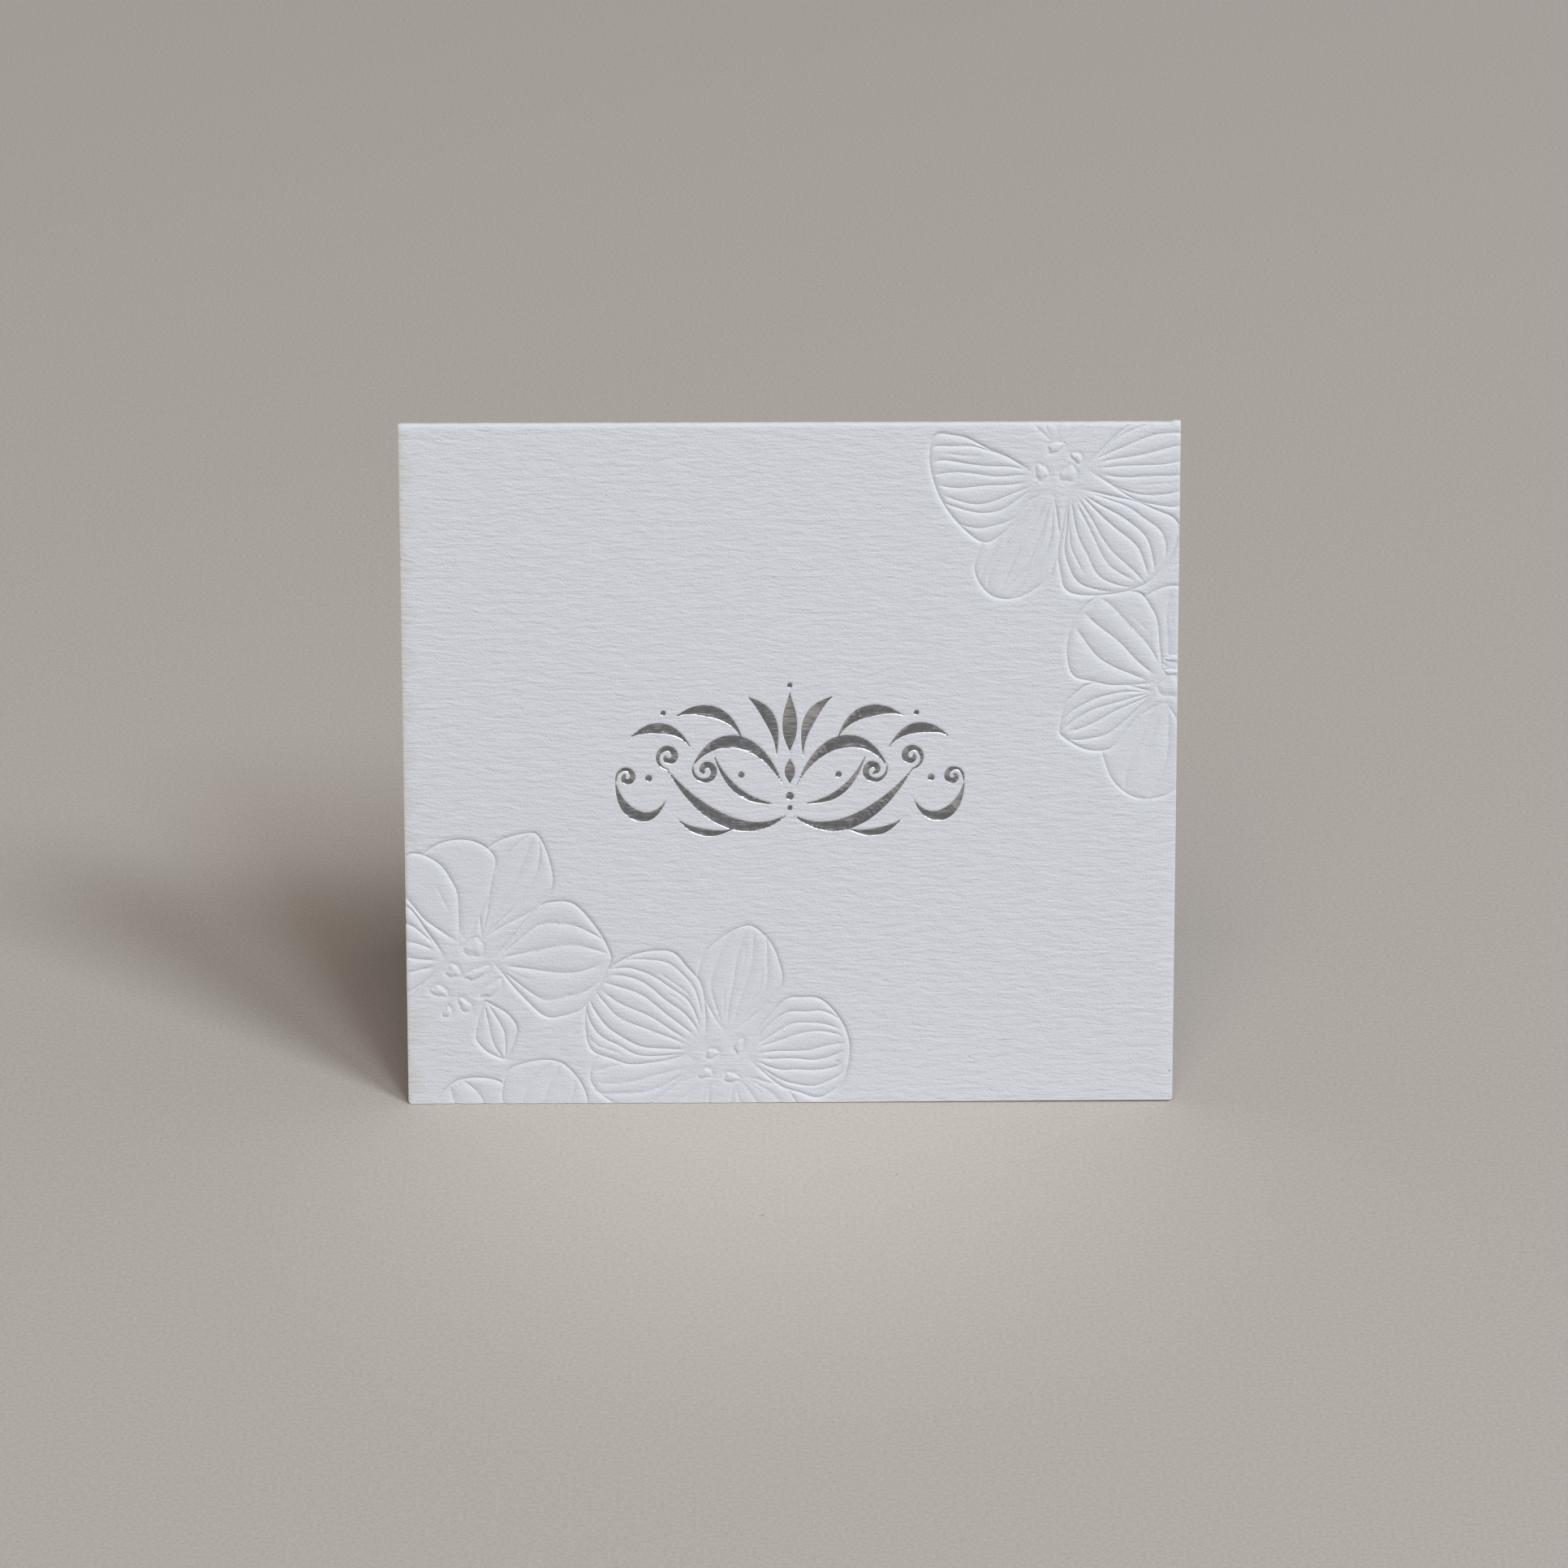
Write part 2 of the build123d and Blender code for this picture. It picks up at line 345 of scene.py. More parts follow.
class CardFinish(bpy.types.PropertyGroup):
    """Colours and the grain of the stock."""
    stock: tint("Stock", "Colour of the card", (0.762, 0.782, 0.848))
    # This colour is also painted as a highlight along the left cut edge and as shade on the fold's crest.
    cut_edge: tint("Cut edge", "Colour of the cut edges, warmer than the face", (0.74, 0.68, 0.60))
    foil: tint("Foil", "Colour of the silver foil", (0.66, 0.67, 0.69))
    floor: tint("Floor", "Colour of the floor", (0.532, 0.483, 0.449))
    rib_spacing: millimetres("Rib spacing", "Distance between the felt marking's ribs, up the card", 1.3)
    rib_run: millimetres("Rib run", "Length of a rib, across the card", 6.0)
    rib_height: millimetres("Rib height", "Height of the felt marking", 0.152)


class StageSettings(bpy.types.PropertyGroup):
    """The camera, the floor and the room."""
    camera_place: FloatVectorProperty(name="Camera place", description="Where the camera stands",
                                      subtype="TRANSLATION", unit="LENGTH",
                                      default=(-0.0082, -1.0868, 0.6275))
    camera_pitch: degrees("Camera pitch", "How far the camera looks down", 28.0)
    camera_yaw: degrees("Camera yaw", "How far the camera is turned to the left", -0.38)
    camera_lens: FloatProperty(name="Lens", default=153.56,
                               description="Focal length for a sensor 36 mm wide, in millimetres")
    floor_size: FloatProperty(name="Floor size", description="Side of the square floor", default=8.0,
                              unit="LENGTH")
    world_level: FloatProperty(name="World level", description="Brightness of the room", default=0.12)


class GreetingCard(bpy.types.PropertyGroup):
    """All settings of the card and its stage."""
    sheet: PointerProperty(type=CardSheetSizes)
    blossoms: PointerProperty(type=BlossomSizes)
    foil: PointerProperty(type=FoilSizes)
    finish: PointerProperty(type=CardFinish)
    stage: PointerProperty(type=StageSettings)


# A triangulated face of the sheet, and the numbers of its rim points in order.
Face = namedtuple("Face", "points triangles rim")

Layout = namedtuple("Layout", "width panel bend length outer_radius lean centre_height thickness")


def sheet_layout(sizes):
    """The flat sheet's measures, taken from the frame's box and the board's own sizes.

    A place on the sheet is across it from its middle, and along its outer face from the front foot,
    up the front panel, over the bend and down the back panel.
    """
    low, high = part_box("card")
    outer_radius = sizes.fold_inner_radius + sizes.board_thickness
    centre_height = high[2] - outer_radius
    panel = (centre_height + sizes.fold_inner_radius * math.sin(sizes.lean)) / math.cos(sizes.lean)
    bend = outer_radius * (math.pi - 2 * sizes.lean)
    return Layout(high[0] - low[0], panel, bend, 2 * panel + bend, outer_radius, sizes.lean,
                  centre_height, sizes.board_thickness)


def smooth_step(low, high, value):
    """0 below low, 1 above high, and smooth between them."""
    share = np.clip((value - low) / (high - low), 0, 1)
    return share * share * (3 - 2 * share)


def well(distance, reach):
    """1 on a line, falling to 0 at its reach: the section of a valley between two pillows."""
    reach = np.maximum(reach, 1e-9)
    wide = np.clip(1 - distance / reach, 0, 1) ** 2
    sharp = np.clip(1 - distance / np.minimum(reach, VALLEY_FLOOR), 0, 1)
    return VALLEY_SLOPE * wide + (1 - VALLEY_SLOPE) * sharp


def evenly_spaced(line, step, closed=False):
    """Points at even steps along a line."""
    if closed:
        line = np.vstack([line, line[:1]])
    lengths = np.concatenate([[0], np.cumsum(np.hypot(*np.diff(line, axis=0).T))])
    count = max(int(lengths[-1] / step), 2)
    places = np.linspace(0, lengths[-1], count + 1)
    if closed:
        places = places[:-1]
    return np.stack([np.interp(places, lengths, line[:, axis]) for axis in (0, 1)], axis=1)


def line_normals(line):
    """Unit vectors to the left of a line at each of its points."""
    ahead = np.gradient(line, axis=0)
    left = np.stack([-ahead[:, 1], ahead[:, 0]], axis=1)
    return left / np.maximum(np.linalg.norm(left, axis=1, keepdims=True), 1e-12)


def unbroken_runs(line, keep, closed=False):
    """The stretches of a line where keep is true, each of two points or more."""
    if keep.all():
        return [np.vstack([line, line[:1]]) if closed else line]
    if closed:
        start = int(np.argmin(keep))
        line = np.roll(line, -start, axis=0)
        keep = np.roll(keep, -start)
    turns = np.flatnonzero(np.diff(np.concatenate([[0], keep, [0]])))
    return [line[first:last] for first, last in zip(turns[::2], turns[1::2]) if last - first > 1]


class PlacedLump:
    """A small rounded form in the middle of a blossom. It has no veins."""

    def __init__(self, lump, centre):
        turn = math.radians(lump.turn)
        self.axes = np.array([[math.cos(turn), math.sin(turn)], [-math.sin(turn), math.cos(turn)]])
        self.centre = centre + np.array([lump.x, lump.y]) * MM
        self.halves = np.array([lump.length, lump.width]) * MM / 2
        self.depth = LUMP_DEPTH
        self.blossom_centre = centre
        self.fade_radius = 0.0
        self.pillow = LUMP_SHOULDER * self.halves[1]
        self.lift = LUMP_LIFT

    def contains(self, points):
        local = (points - self.centre) @ self.axes.T / self.halves
        return (local ** 2).sum(axis=1) < 1

    def outline(self):
        turns = np.linspace(0, 2 * math.pi, 48, endpoint=False)
        start = self.centre.sum() / MM
        wobble = 1
        for count, shift, size in LUMP_WAVES:
            wobble = wobble + size * np.cos(count * turns + shift * start)
        local = np.stack([np.cos(turns), np.sin(turns)], axis=1) * wobble[:, None] * self.halves
        return self.centre + local @ self.axes

    def vein_drop(self, points):
        return np.zeros(len(points))

    def vein_lines(self):
        return []


class PlacedPetal:
    """A petal in its place on the flat sheet, with its veins."""

    def __init__(self, petal, centre, heart, sizes, random):
        heading = math.radians(petal.heading)
        self.axis = np.array([math.cos(heading), math.sin(heading)])
        self.across = np.array([-math.sin(heading), math.cos(heading)])
        self.base = centre + self.axis * petal.start * MM
        self.length = petal.length * MM
        self.half = petal.width * MM / 2
        self.power = math.log(0.5) / math.log(petal.widest)
        self.widest = petal.widest
        self.blunt = petal.blunt
        self.bend = petal.bend * self.length
        self.gather = petal.gather
        self.depth = petal.depth
        self.blossom_centre = centre
        self.fade_radius = heart * MM
        self.pillow = sizes.pillow_width
        self.lift = petal.depth
        self.phases = random.uniform(0, 2 * math.pi, (2, 2))
        self.veins = self.placed_veins(petal, random)

    def placed_veins(self, petal, random):
        """Main veins at fairly even places across the petal, and fine ones between them.

        Each is its place across, its reach either way, its depth and the stretch that it runs along.
        """
        gap = 2 / (petal.veins + 1)
        veins = []
        for number in range(petal.veins):
            place = (number + 1) * gap - 1 + random.uniform(*MAIN_VEIN_SHIFT) * gap
            depth = petal.depth * random.uniform(*MAIN_VEIN_DEPTH)
            begin = random.uniform(*MAIN_VEIN_START)
            veins.append((place, gap / 2, depth, begin, random.uniform(*MAIN_VEIN_END)))
        for _ in range(petal.fine):
            place = random.uniform(*FINE_VEIN_PLACE)
            begin = random.uniform(*FINE_VEIN_START)
            length = random.uniform(*FINE_VEIN_LENGTH)
            depth = petal.depth * random.uniform(*FINE_VEIN_DEPTH)
            veins.append((place, min(gap / 4, FINE_VEIN_REACH), depth, begin, min(begin + length, 1.0)))
        return veins

    def local(self, points):
        """Places along the petal as a share of its length, and across it from its bent middle line."""
        offset = points - self.base
        along = offset @ self.axis / self.length
        return along, offset @ self.across - self.bend * np.clip(along, 0, 1) ** 2

    def on_sheet(self, along, across):
        """Places on the sheet, from places along the petal and across it from its bent middle line."""
        side = across + self.bend * np.clip(along, 0, 1) ** 2
        return self.base + np.outer(along * self.length, self.axis) + np.outer(side, self.across)

    def half_width(self, along, side):
        """The petal's half width on its left (1) or right (0) side, each a little uneven."""
        uneven = 1
        for (rate, size), phase in zip(PETAL_WAVES, self.phases):
            uneven = uneven + size * np.sin(rate * along + phase[side])
        return uneven * self.half * np.sin(math.pi * np.clip(along, 0, 1) ** self.power) ** self.blunt

    def vein_middle(self, along, place):
        """Where a vein runs, and the half width that it is spread over: the petal's own, or a fan's."""
        fan = self.half * np.sin(math.pi / 2 * np.clip(along / self.widest, 0, 1)) ** self.blunt
        reach = self.gather * self.half_width(along, int(place > 0)) + (1 - self.gather) * fan
        return reach * (place + VEIN_SWAY * np.sin(9 * along + 7 * place)), reach

    def contains(self, points):
        along, across = self.local(points)
        side = (across > 0).astype(int)
        return (along > 0) & (along < 1) & (np.abs(across) < self.half_width(along, side))

    def outline(self):
        along = 0.5 - 0.5 * np.cos(np.linspace(0, math.pi, 90))
        left = self.on_sheet(along, self.half_width(along, 1))
        right = self.on_sheet(along[::-1], -self.half_width(along[::-1], 0))
        return np.vstack([left, right[1:-1]])

    def vein_drop(self, points):
        """How far the veins pull the petal down, from 0 to 1."""
        along, across = self.local(points)
        drop = np.zeros(len(points))
        for place, spread, depth, begin, end in self.veins:
            fade_in = smooth_step(begin, begin + VEIN_FADE_IN, along)
            fade = fade_in * (1 - smooth_step(end - VEIN_FADE_OUT, end, along))
            middle, reach = self.vein_middle(along, place)
            drop = np.maximum(drop, depth * fade * well(np.abs(across - middle), spread * reach))
        return drop

    def vein_lines(self):
        """Each vein as a line, with the rows beside it that its valley needs."""
        lines = []
        for place, spread, depth, begin, end in self.veins:
            along = np.linspace(max(begin, 0.02), min(end, 0.99), 40)
            middle, reach = self.vein_middle(along, place)
            beside = [self.on_sheet(along, middle + offset * MM) for offset in VEIN_ROWS]
            beside += [self.on_sheet(along, middle + share * spread * reach) for share in VEIN_REACH_ROWS]
            lines.append((self.on_sheet(along, middle), beside))
        return lines


class Relief:
    """The blossoms of the front panel: how high the pressed face lies at any place on the flat sheet."""

    def __init__(self, sizes, layout):
        self.sizes = sizes
        self.layout = layout
        self.shapes = []
        random = np.random.default_rng(sizes.seed)
        for blossom in BLOSSOMS:
            centre = blossom_centre(blossom, layout)
            self.shapes += [PlacedLump(lump, centre) for lump in blossom.lumps]
            for petal in blossom.petals:
                self.shapes.append(PlacedPetal(petal, centre, blossom.heart, sizes, random))
        self.outlines = self.visible_outlines()
        strengths = [shape.depth * heart_fade(line, shape) for line, shape in self.outlines]
        self.strengths = np.concatenate(strengths)
        samples = np.vstack([line for line, shape in self.outlines])
        self.tree = kdtree.KDTree(len(samples))
        for number, (x, y) in enumerate(samples):
            self.tree.insert((x, y, 0), number)
        self.tree.balance()

    def inside_panel(self, points, margin):
        """True for places on the front panel that are at least a margin from its edges and its bend."""
        across = np.abs(points[:, 0]) < self.layout.width / 2 - margin
        return across & (points[:, 1] > margin) & (points[:, 1] < self.layout.panel - margin)

    def covered(self, points, number):
        """True where a shape further to the front hides this one."""
        hidden = np.zeros(len(points), bool)
        for shape in self.shapes[:number]:
            hidden |= shape.contains(points)
        return hidden

    def visible_outlines(self):
        """The runs of each shape's outline that no shape in front hides, to just past the panel's edges."""
        overrun = 3 * MM
        runs = []
        for number, shape in enumerate(self.shapes):
            line = evenly_spaced(shape.outline(), self.sizes.mesh_step / 2, closed=True)
            keep = ~self.covered(line, number) & self.inside_panel(line, -overrun)
            runs += [(run, shape) for run in unbroken_runs(line, keep, closed=True)]
        return runs

    def owners(self, points):
        """The front-most shape that holds each point, or -1."""
        owner = np.full(len(points), -1)
        for number in reversed(range(len(self.shapes))):
            owner[self.shapes[number].contains(points)] = number
        return owner

    def nearest_outline(self, points):
        """Distance to the nearest visible outline, and how deep that is pressed."""
        found = [self.tree.find((x, y, 0)) for x, y in points]
        distance = np.array([hit[2] for hit in found])
        return distance, self.strengths[[hit[1] for hit in found]]

    def height(self, points, softness=1.0):
        """Height of the pressed face above the card's face. A softer relief is wider and lower."""
        distance, strength = self.nearest_outline(points)
        owner = self.owners(points)
        outside = strength * well(distance, self.sizes.rim_width * softness)
        height = -self.sizes.press_depth * outside
        for number, shape in enumerate(self.shapes):
            held = owner == number
            if held.any():
                place = points[held]
                drop = strength[held] * well(distance[held], shape.pillow * softness)
                drop = np.maximum(drop, shape.vein_drop(place) * heart_fade(place, shape))
                lift = self.sizes.pillow_lift * shape.lift * smooth_step(0, shape.pillow, distance[held])
                lift = lift * smooth_step(0, FOOT_FADE, place[:, 1])
                height[held] = lift * (1 - drop) - self.sizes.press_depth * drop
        return height / softness ** 0.5

    def pressed(self, points):
        """1 where the blossoms have ironed the felt marking, falling to 0 just outside them."""
        distance, strength = self.nearest_outline(points)
        return np.where(self.owners(points) >= 0, 1.0, 1 - smooth_step(0, IRONED_REACH, distance))


def blossom_centre(blossom, layout):
    """The middle of a blossom on the flat sheet."""
    across = layout.width / 2 - blossom.inset * MM
    up = blossom.rise * MM if blossom.end == "foot" else layout.panel - blossom.rise * MM
    return np.array([across if blossom.side == "right" else -across, up])


def heart_fade(points, shape):
    """0 at the middle of a blossom, where its petals run together, and 1 away from it."""
    if shape.fade_radius == 0:
        return np.ones(len(points))
    distance = np.linalg.norm(points - shape.blossom_centre, axis=1)
    low, high = (share * shape.fade_radius for share in HEART_FADE)
    return smooth_step(low, high, distance)


class Flourish:
    """The stamped ornament: thick and thin strokes, the same left and right."""

    def __init__(self, sizes):
        self.sizes = sizes
        middle = np.array([0.0, sizes.rise])
        lines = [stroke_line(stroke) for stroke in STROKES] + [spiral_line(spiral) for spiral in SPIRALS]
        mirrored = [(line * np.array([-1, 1]), width) for line, width in lines]
        lines = lines + mirrored + [stroke_line(stroke) for stroke in CENTRE_LEAVES]
        self.lines = [(middle + line, sizes.hairline + width) for line, width in lines]
        self.beads = [(middle + np.array([side * x, y]) * MM, radius * MM)
                      for x, y, radius in BEADS for side in ((1, -1) if x else (1,))]
        centres = [centre for centre, radius in self.beads]
        radii = [radius for centre, radius in self.beads]
        self.samples = np.vstack([line for line, width in self.lines] + [centres])
        self.widths = np.concatenate([width for line, width in self.lines] + [radii])
        margin = 2 * MM
        self.low = self.samples.min(axis=0) - margin
        self.high = self.samples.max(axis=0) + margin

    def distance(self, points):
        """Distance outside the nearest stroke's edge, negative inside a stroke."""
        result = np.full(len(points), 1.0)
        chosen = np.flatnonzero(((points > self.low) & (points < self.high)).all(axis=1))
        for part in np.array_split(chosen, max(len(chosen) // 500, 1)):
            gaps = np.linalg.norm(points[part, None] - self.samples[None], axis=2) - self.widths
            result[part] = gaps.min(axis=1)
        return result

    def height(self, points):
        """Depth of the stamping: flat under a stroke, with a slope round its edge."""
        low, high = (share * self.sizes.wall for share in STAMP_SLOPE)
        return -self.sizes.deboss * (1 - smooth_step(low, high, self.distance(points)))

    def foiled(self, points):
        """True where the foil lies."""
        return self.distance(points + self.sizes.shift) < 0

    def edges(self, offset):
        """The strokes' and beads' edges, moved out by an offset, without their parts inside other strokes."""
        turns = np.linspace(0, 2 * math.pi, 25)
        circle = np.stack([np.cos(turns), np.sin(turns)], axis=1)
        lines = [centre + (radius + offset) * circle for centre, radius in self.beads]
        for line, width in self.lines:
            reach = np.maximum(width + offset, STROKE_THINNEST)[:, None]
            run = np.linalg.norm(np.gradient(line, axis=0), axis=1)[:, None]
            swell = np.gradient(reach[:, 0])[:, None] / run
            normals = line_normals(line)
            ahead = np.stack([normals[:, 1], -normals[:, 0]], axis=1)
            middle = line - reach * swell * ahead
            aside = reach * np.sqrt(np.maximum(1 - swell ** 2, 0)) * normals
            lines += [middle + aside, middle - aside]
        kept = []
        for line in lines:
            line = evenly_spaced(line, STROKE_EDGE_STEP)
            kept += unbroken_runs(line, self.distance(line) > offset - STROKE_EDGE_TOLERANCE)
        return kept


def stroke_line(stroke):
    """Points along a stroke in metres, and its half width at each, thin at both ends."""
    share = np.linspace(0, 1, 60)[:, None]
    corners = [np.array(corner) * MM for corner in (stroke.start, stroke.first, stroke.second, stroke.end)]
    line = ((1 - share) ** 3 * corners[0] + 3 * (1 - share) ** 2 * share * corners[1]
            + 3 * (1 - share) * share ** 2 * corners[2] + share ** 3 * corners[3])
    power = math.log(0.5) / math.log(stroke.widest)
    width = stroke.half_width * MM * np.sin(math.pi * share[:, 0] ** power) ** 1.3
    return line, width


def spiral_line(spiral):
    """Points along a spiral in metres, and its half width at each, swelling to a round end."""
    share = np.linspace(0, 1, 70)
    turn = math.radians(spiral.start) + 2 * math.pi * spiral.turns * share
    radius = (spiral.outer + (spiral.inner - spiral.outer) * share ** 0.8) * MM
    line = np.stack([spiral.x * MM + radius * np.cos(turn), spiral.y * MM + radius * np.sin(turn)], axis=1)
    width = spiral.half_width * MM * np.sin(math.pi * (0.04 + 0.8 * share)) ** 1.2
    return line, width


def sheet_rim(layout, radius, step):
    """The flat sheet's outline, all the way round, with rounded corners and wider steps at the back."""
    half, top = layout.width / 2, layout.length
    front = np.arange(radius, layout.panel, step)
    bend = np.linspace(layout.panel, layout.panel + layout.bend, 17)
    back = np.arange(layout.panel + layout.bend + step, top - radius, 4 * step)
    side = np.concatenate([front[1:], bend, back])
    foot = np.arange(-half + radius + step, half - radius, step)
    head = np.arange(-half + radius + step, half - radius, 4 * step)
    return np.vstack([
        np.column_stack([foot, np.zeros(len(foot))]),
        corner_arc(half - radius, radius, radius, -90),
        np.column_stack([np.full(len(side), half), side]),
        corner_arc(half - radius, top - radius, radius, 0),
        np.column_stack([head[::-1], np.full(len(head), top)]),
        corner_arc(-half + radius, top - radius, radius, 90),
        np.column_stack([np.full(len(side), -half), side[::-1]]),
        corner_arc(-half + radius, radius, radius, 180),
    ])


def corner_arc(x, y, radius, start):
    """A quarter round about a centre, from its start angle in degrees."""
    turns = np.radians(start + np.linspace(0, 90, 6))
    return np.stack([x + radius * np.cos(turns), y + radius * np.sin(turns)], axis=1)


def grid_points(low, high, step):
    """Points of a triangular grid inside a box."""
    row_height = 0.866
    points = []
    for number, row in enumerate(np.arange(low[1], high[1], step * row_height)):
        columns = np.arange(low[0] + (number % 2) * step / 2, high[0], step)
        points.append(np.stack([columns, np.full(len(columns), row)], axis=1))
    return np.vstack(points)


def thinned(fixed, points, gap):
    """The points that don't share a small cell with a fixed point or with an earlier one."""
    row_length = 1_000_003
    cells = np.floor(np.vstack([fixed, points]) / gap).astype(np.int64)
    keys = cells[:, 0] * row_length + cells[:, 1]
    first = np.unique(keys, return_index=True)[1]
    return points[np.sort(first[first >= len(fixed)]) - len(fixed)]


def triangulated(rim, lines, points):
    """A face of the flat sheet whose triangles follow its rim and the given lines."""
    places = np.vstack([rim] + lines + [points]) / MM
    links = [(n, (n + 1) % len(rim)) for n in range(len(rim))]
    start = len(rim)
    for line in lines:
        links += [(start + n, start + n + 1) for n in range(len(line) - 1)]
        start += len(line)
    inside_links = 1
    found = delaunay_2d_cdt([Vector(place) for place in places], links, [], inside_links, 1e-4, True)
    corners = np.array([tuple(corner) for corner in found[0]]) * MM
    triangles = np.array([face for face in found[2] if len(face) == 3])
    number_of = {source: number for number, sources in enumerate(found[3]) for source in sources}
    return Face(corners, triangles, np.array([number_of[n] for n in range(len(rim))]))


def crown_heights(points, layout, sizes):
    """How far the crease is pressed flat, with its uneven fibres and the nub at its right end."""
    from_crown = np.abs(points[:, 1] - layout.panel - layout.bend / 2)
    crown = 1 - smooth_step(0.0, 0.75 * layout.bend, from_crown)
    across = points[:, 0] / MM
    waves = sum(weight * np.sin(across * rate + start) for rate, start, weight in CROWN_WAVES)
    nub = 1 - smooth_step(*CROWN_NUB_REACH, layout.width / 2 - points[:, 0])
    height = -sizes.crown_flattening + sizes.crown_roughness * waves / 3 + sizes.crown_nub * nub
    return crown * height


def crushed_edges(points, layout, sizes):
    """How far the face has sunk along its cut sides."""
    inside = layout.width / 2 - np.abs(points[:, 0])
    return -sizes.edge_crush * (1 - smooth_step(0, EDGE_CRUSH_REACH, inside))


def outer_heights(points, relief, flourish, layout, sizes):
    """How far the outer face stands off the flat sheet."""
    heights = relief.height(points) * relief.inside_panel(points, -PANEL_TOLERANCE)
    heights += flourish.height(points)
    heights += crown_heights(points, layout, sizes) + crushed_edges(points, layout, sizes)
    return heights


def inner_heights(points, relief, layout, sizes):
    """How far the inner face is moved by the relief and the crease of the outer one."""
    heights = relief.height(points, INSIDE_SOFTNESS) * relief.inside_panel(points, -PANEL_TOLERANCE)
    heights += INSIDE_CROWN * crown_heights(points, layout, sizes)
    return heights


def painted_edge_light_and_crest_shade(points, layout):
    """Where a warm tint is painted: a painted highlight along the left cut edge, and painted shade on the
    crest of the fold.
    """
    from_left = points[:, 0] + layout.width / 2
    past = (points[:, 1] - layout.panel) / layout.bend
    crest = smooth_step(*CREST_RISE, past) * (1 - smooth_step(*CREST_FALL, past))
    return np.maximum(PAINTED_EDGE_LIGHT * (1 - smooth_step(*PAINTED_EDGE_LIGHT_REACH, from_left)), PAINTED_CREST_SHADE * crest)


def relief_grid(relief, layout, step, reach):
    """Points of a grid all over the blossoms, and outside them within a reach of their outlines."""
    grid = grid_points((-layout.width / 2, 0), (layout.width / 2, layout.panel), step)
    distance = relief.nearest_outline(grid)[0]
    return grid[(distance < reach) | (relief.owners(grid) >= 0)]


def outer_points(relief, flourish, layout):
    """The lines and loose points that the outer face's mesh follows."""
    step = relief.sizes.mesh_step
    lines, loose = [], []
    for line, _ in relief.outlines:
        normals = line_normals(line)
        lines += unbroken_runs(line, relief.inside_panel(line, LINE_MARGIN))
        loose += [line + offset * MM * normals for offset in OUTLINE_ROWS]
    for number, shape in enumerate(relief.shapes):
        for line, beside in shape.vein_lines():
            line = evenly_spaced(line, step)
            keep = shape.contains(line) & ~relief.covered(line, number)
            lines += unbroken_runs(line, keep & relief.inside_panel(line, LINE_MARGIN))
            for row in beside:
                row = evenly_spaced(row, step * VEIN_ROW_STEP)
                loose.append(row[shape.contains(row) & ~relief.covered(row, number)])
    wall = flourish.sizes.wall
    for share in STAMP_SLOPE:
        lines += flourish.edges(share * wall)
    lines += [line - flourish.sizes.shift for line in flourish.edges(0)]
    for count in STAMP_ROWS:
        loose += flourish.edges(count * wall)
    loose.append(relief_grid(relief, layout, OUTER_GRID, OUTER_GRID_REACH))
    return lines, np.vstack(loose)


def plain_points(layout):
    """Loose points for the plain parts of the sheet: close rows over the bend, wide ones elsewhere."""
    half = layout.width / 2
    rows = layout.panel + layout.bend * np.linspace(-0.35, 1.35, 22)
    columns = np.arange(-half + 0.5 * MM, half - 0.4 * MM, 1.0 * MM)
    bend = np.array([(column, row) for row in rows for column in columns])
    wide = grid_points((-half + MM, MM), (half - MM, layout.length - MM), PLAIN_GRID)
    along = np.arange(MM, layout.panel, 0.5 * MM)
    inset = half - EDGE_CRUSH_REACH
    sides = [np.column_stack([np.full(len(along), side * inset), along]) for side in (-1, 1)]
    return np.vstack([bend, wide] + sides)


def sheet_faces(relief, flourish, layout, sizes):
    """The flat sheet's outer face with all lines of the relief, and its inner face, with the same rim."""
    rim = sheet_rim(layout, sizes.corner_radius, relief.sizes.mesh_step)
    plain = plain_points(layout)
    lines, loose = outer_points(relief, flourish, layout)
    loose = inside_sheet(np.vstack([loose, plain]), layout)
    outer = triangulated(rim, lines, thinned(np.vstack([rim] + lines), loose, OUTER_GAP))
    grid = relief_grid(relief, layout, INNER_GRID, INNER_GRID_REACH)
    loose = inside_sheet(np.vstack([grid, plain]), layout)
    inner = triangulated(rim, [], thinned(rim, loose, INNER_GAP))
    return outer, inner


def inside_sheet(points, layout):
    """The points that lie clear of the sheet's rim."""
    across = np.abs(points[:, 0]) < layout.width / 2 - LOOSE_MARGIN
    return points[across & (points[:, 1] > LOOSE_MARGIN) & (points[:, 1] < layout.length - LOOSE_MARGIN)]


def settled(points, heights, layout, sizes):
    """Places on the sheet with its small faults.

    The right end of the front foot is drawn a little up the panel, a pressed foot stays clear of the floor,
    and the left cut edge has its nicks.
    """
    low, high = (share * layout.width for share in FOOT_LIFT_ACROSS)
    share = smooth_step(low, high, points[:, 0])
    fall = 1 - smooth_step(0, FOOT_LIFT_UP * layout.panel, points[:, 1])
    moved = points.copy()
    moved[:, 1] += sizes.foot_lift * share * fall
    foot = 1 - smooth_step(0, FOOT_CLEAR_REACH, points[:, 1])
    moved[:, 1] += np.maximum(-heights, 0) * math.tan(layout.lean) * foot
    for up, depth in EDGE_NICKS:
        away = np.hypot(points[:, 0] + layout.width / 2, points[:, 1] - up * MM)
        moved[:, 0] += depth * MM * (1 - smooth_step(0, NICK_REACH, away))
    return np.column_stack([moved, heights])


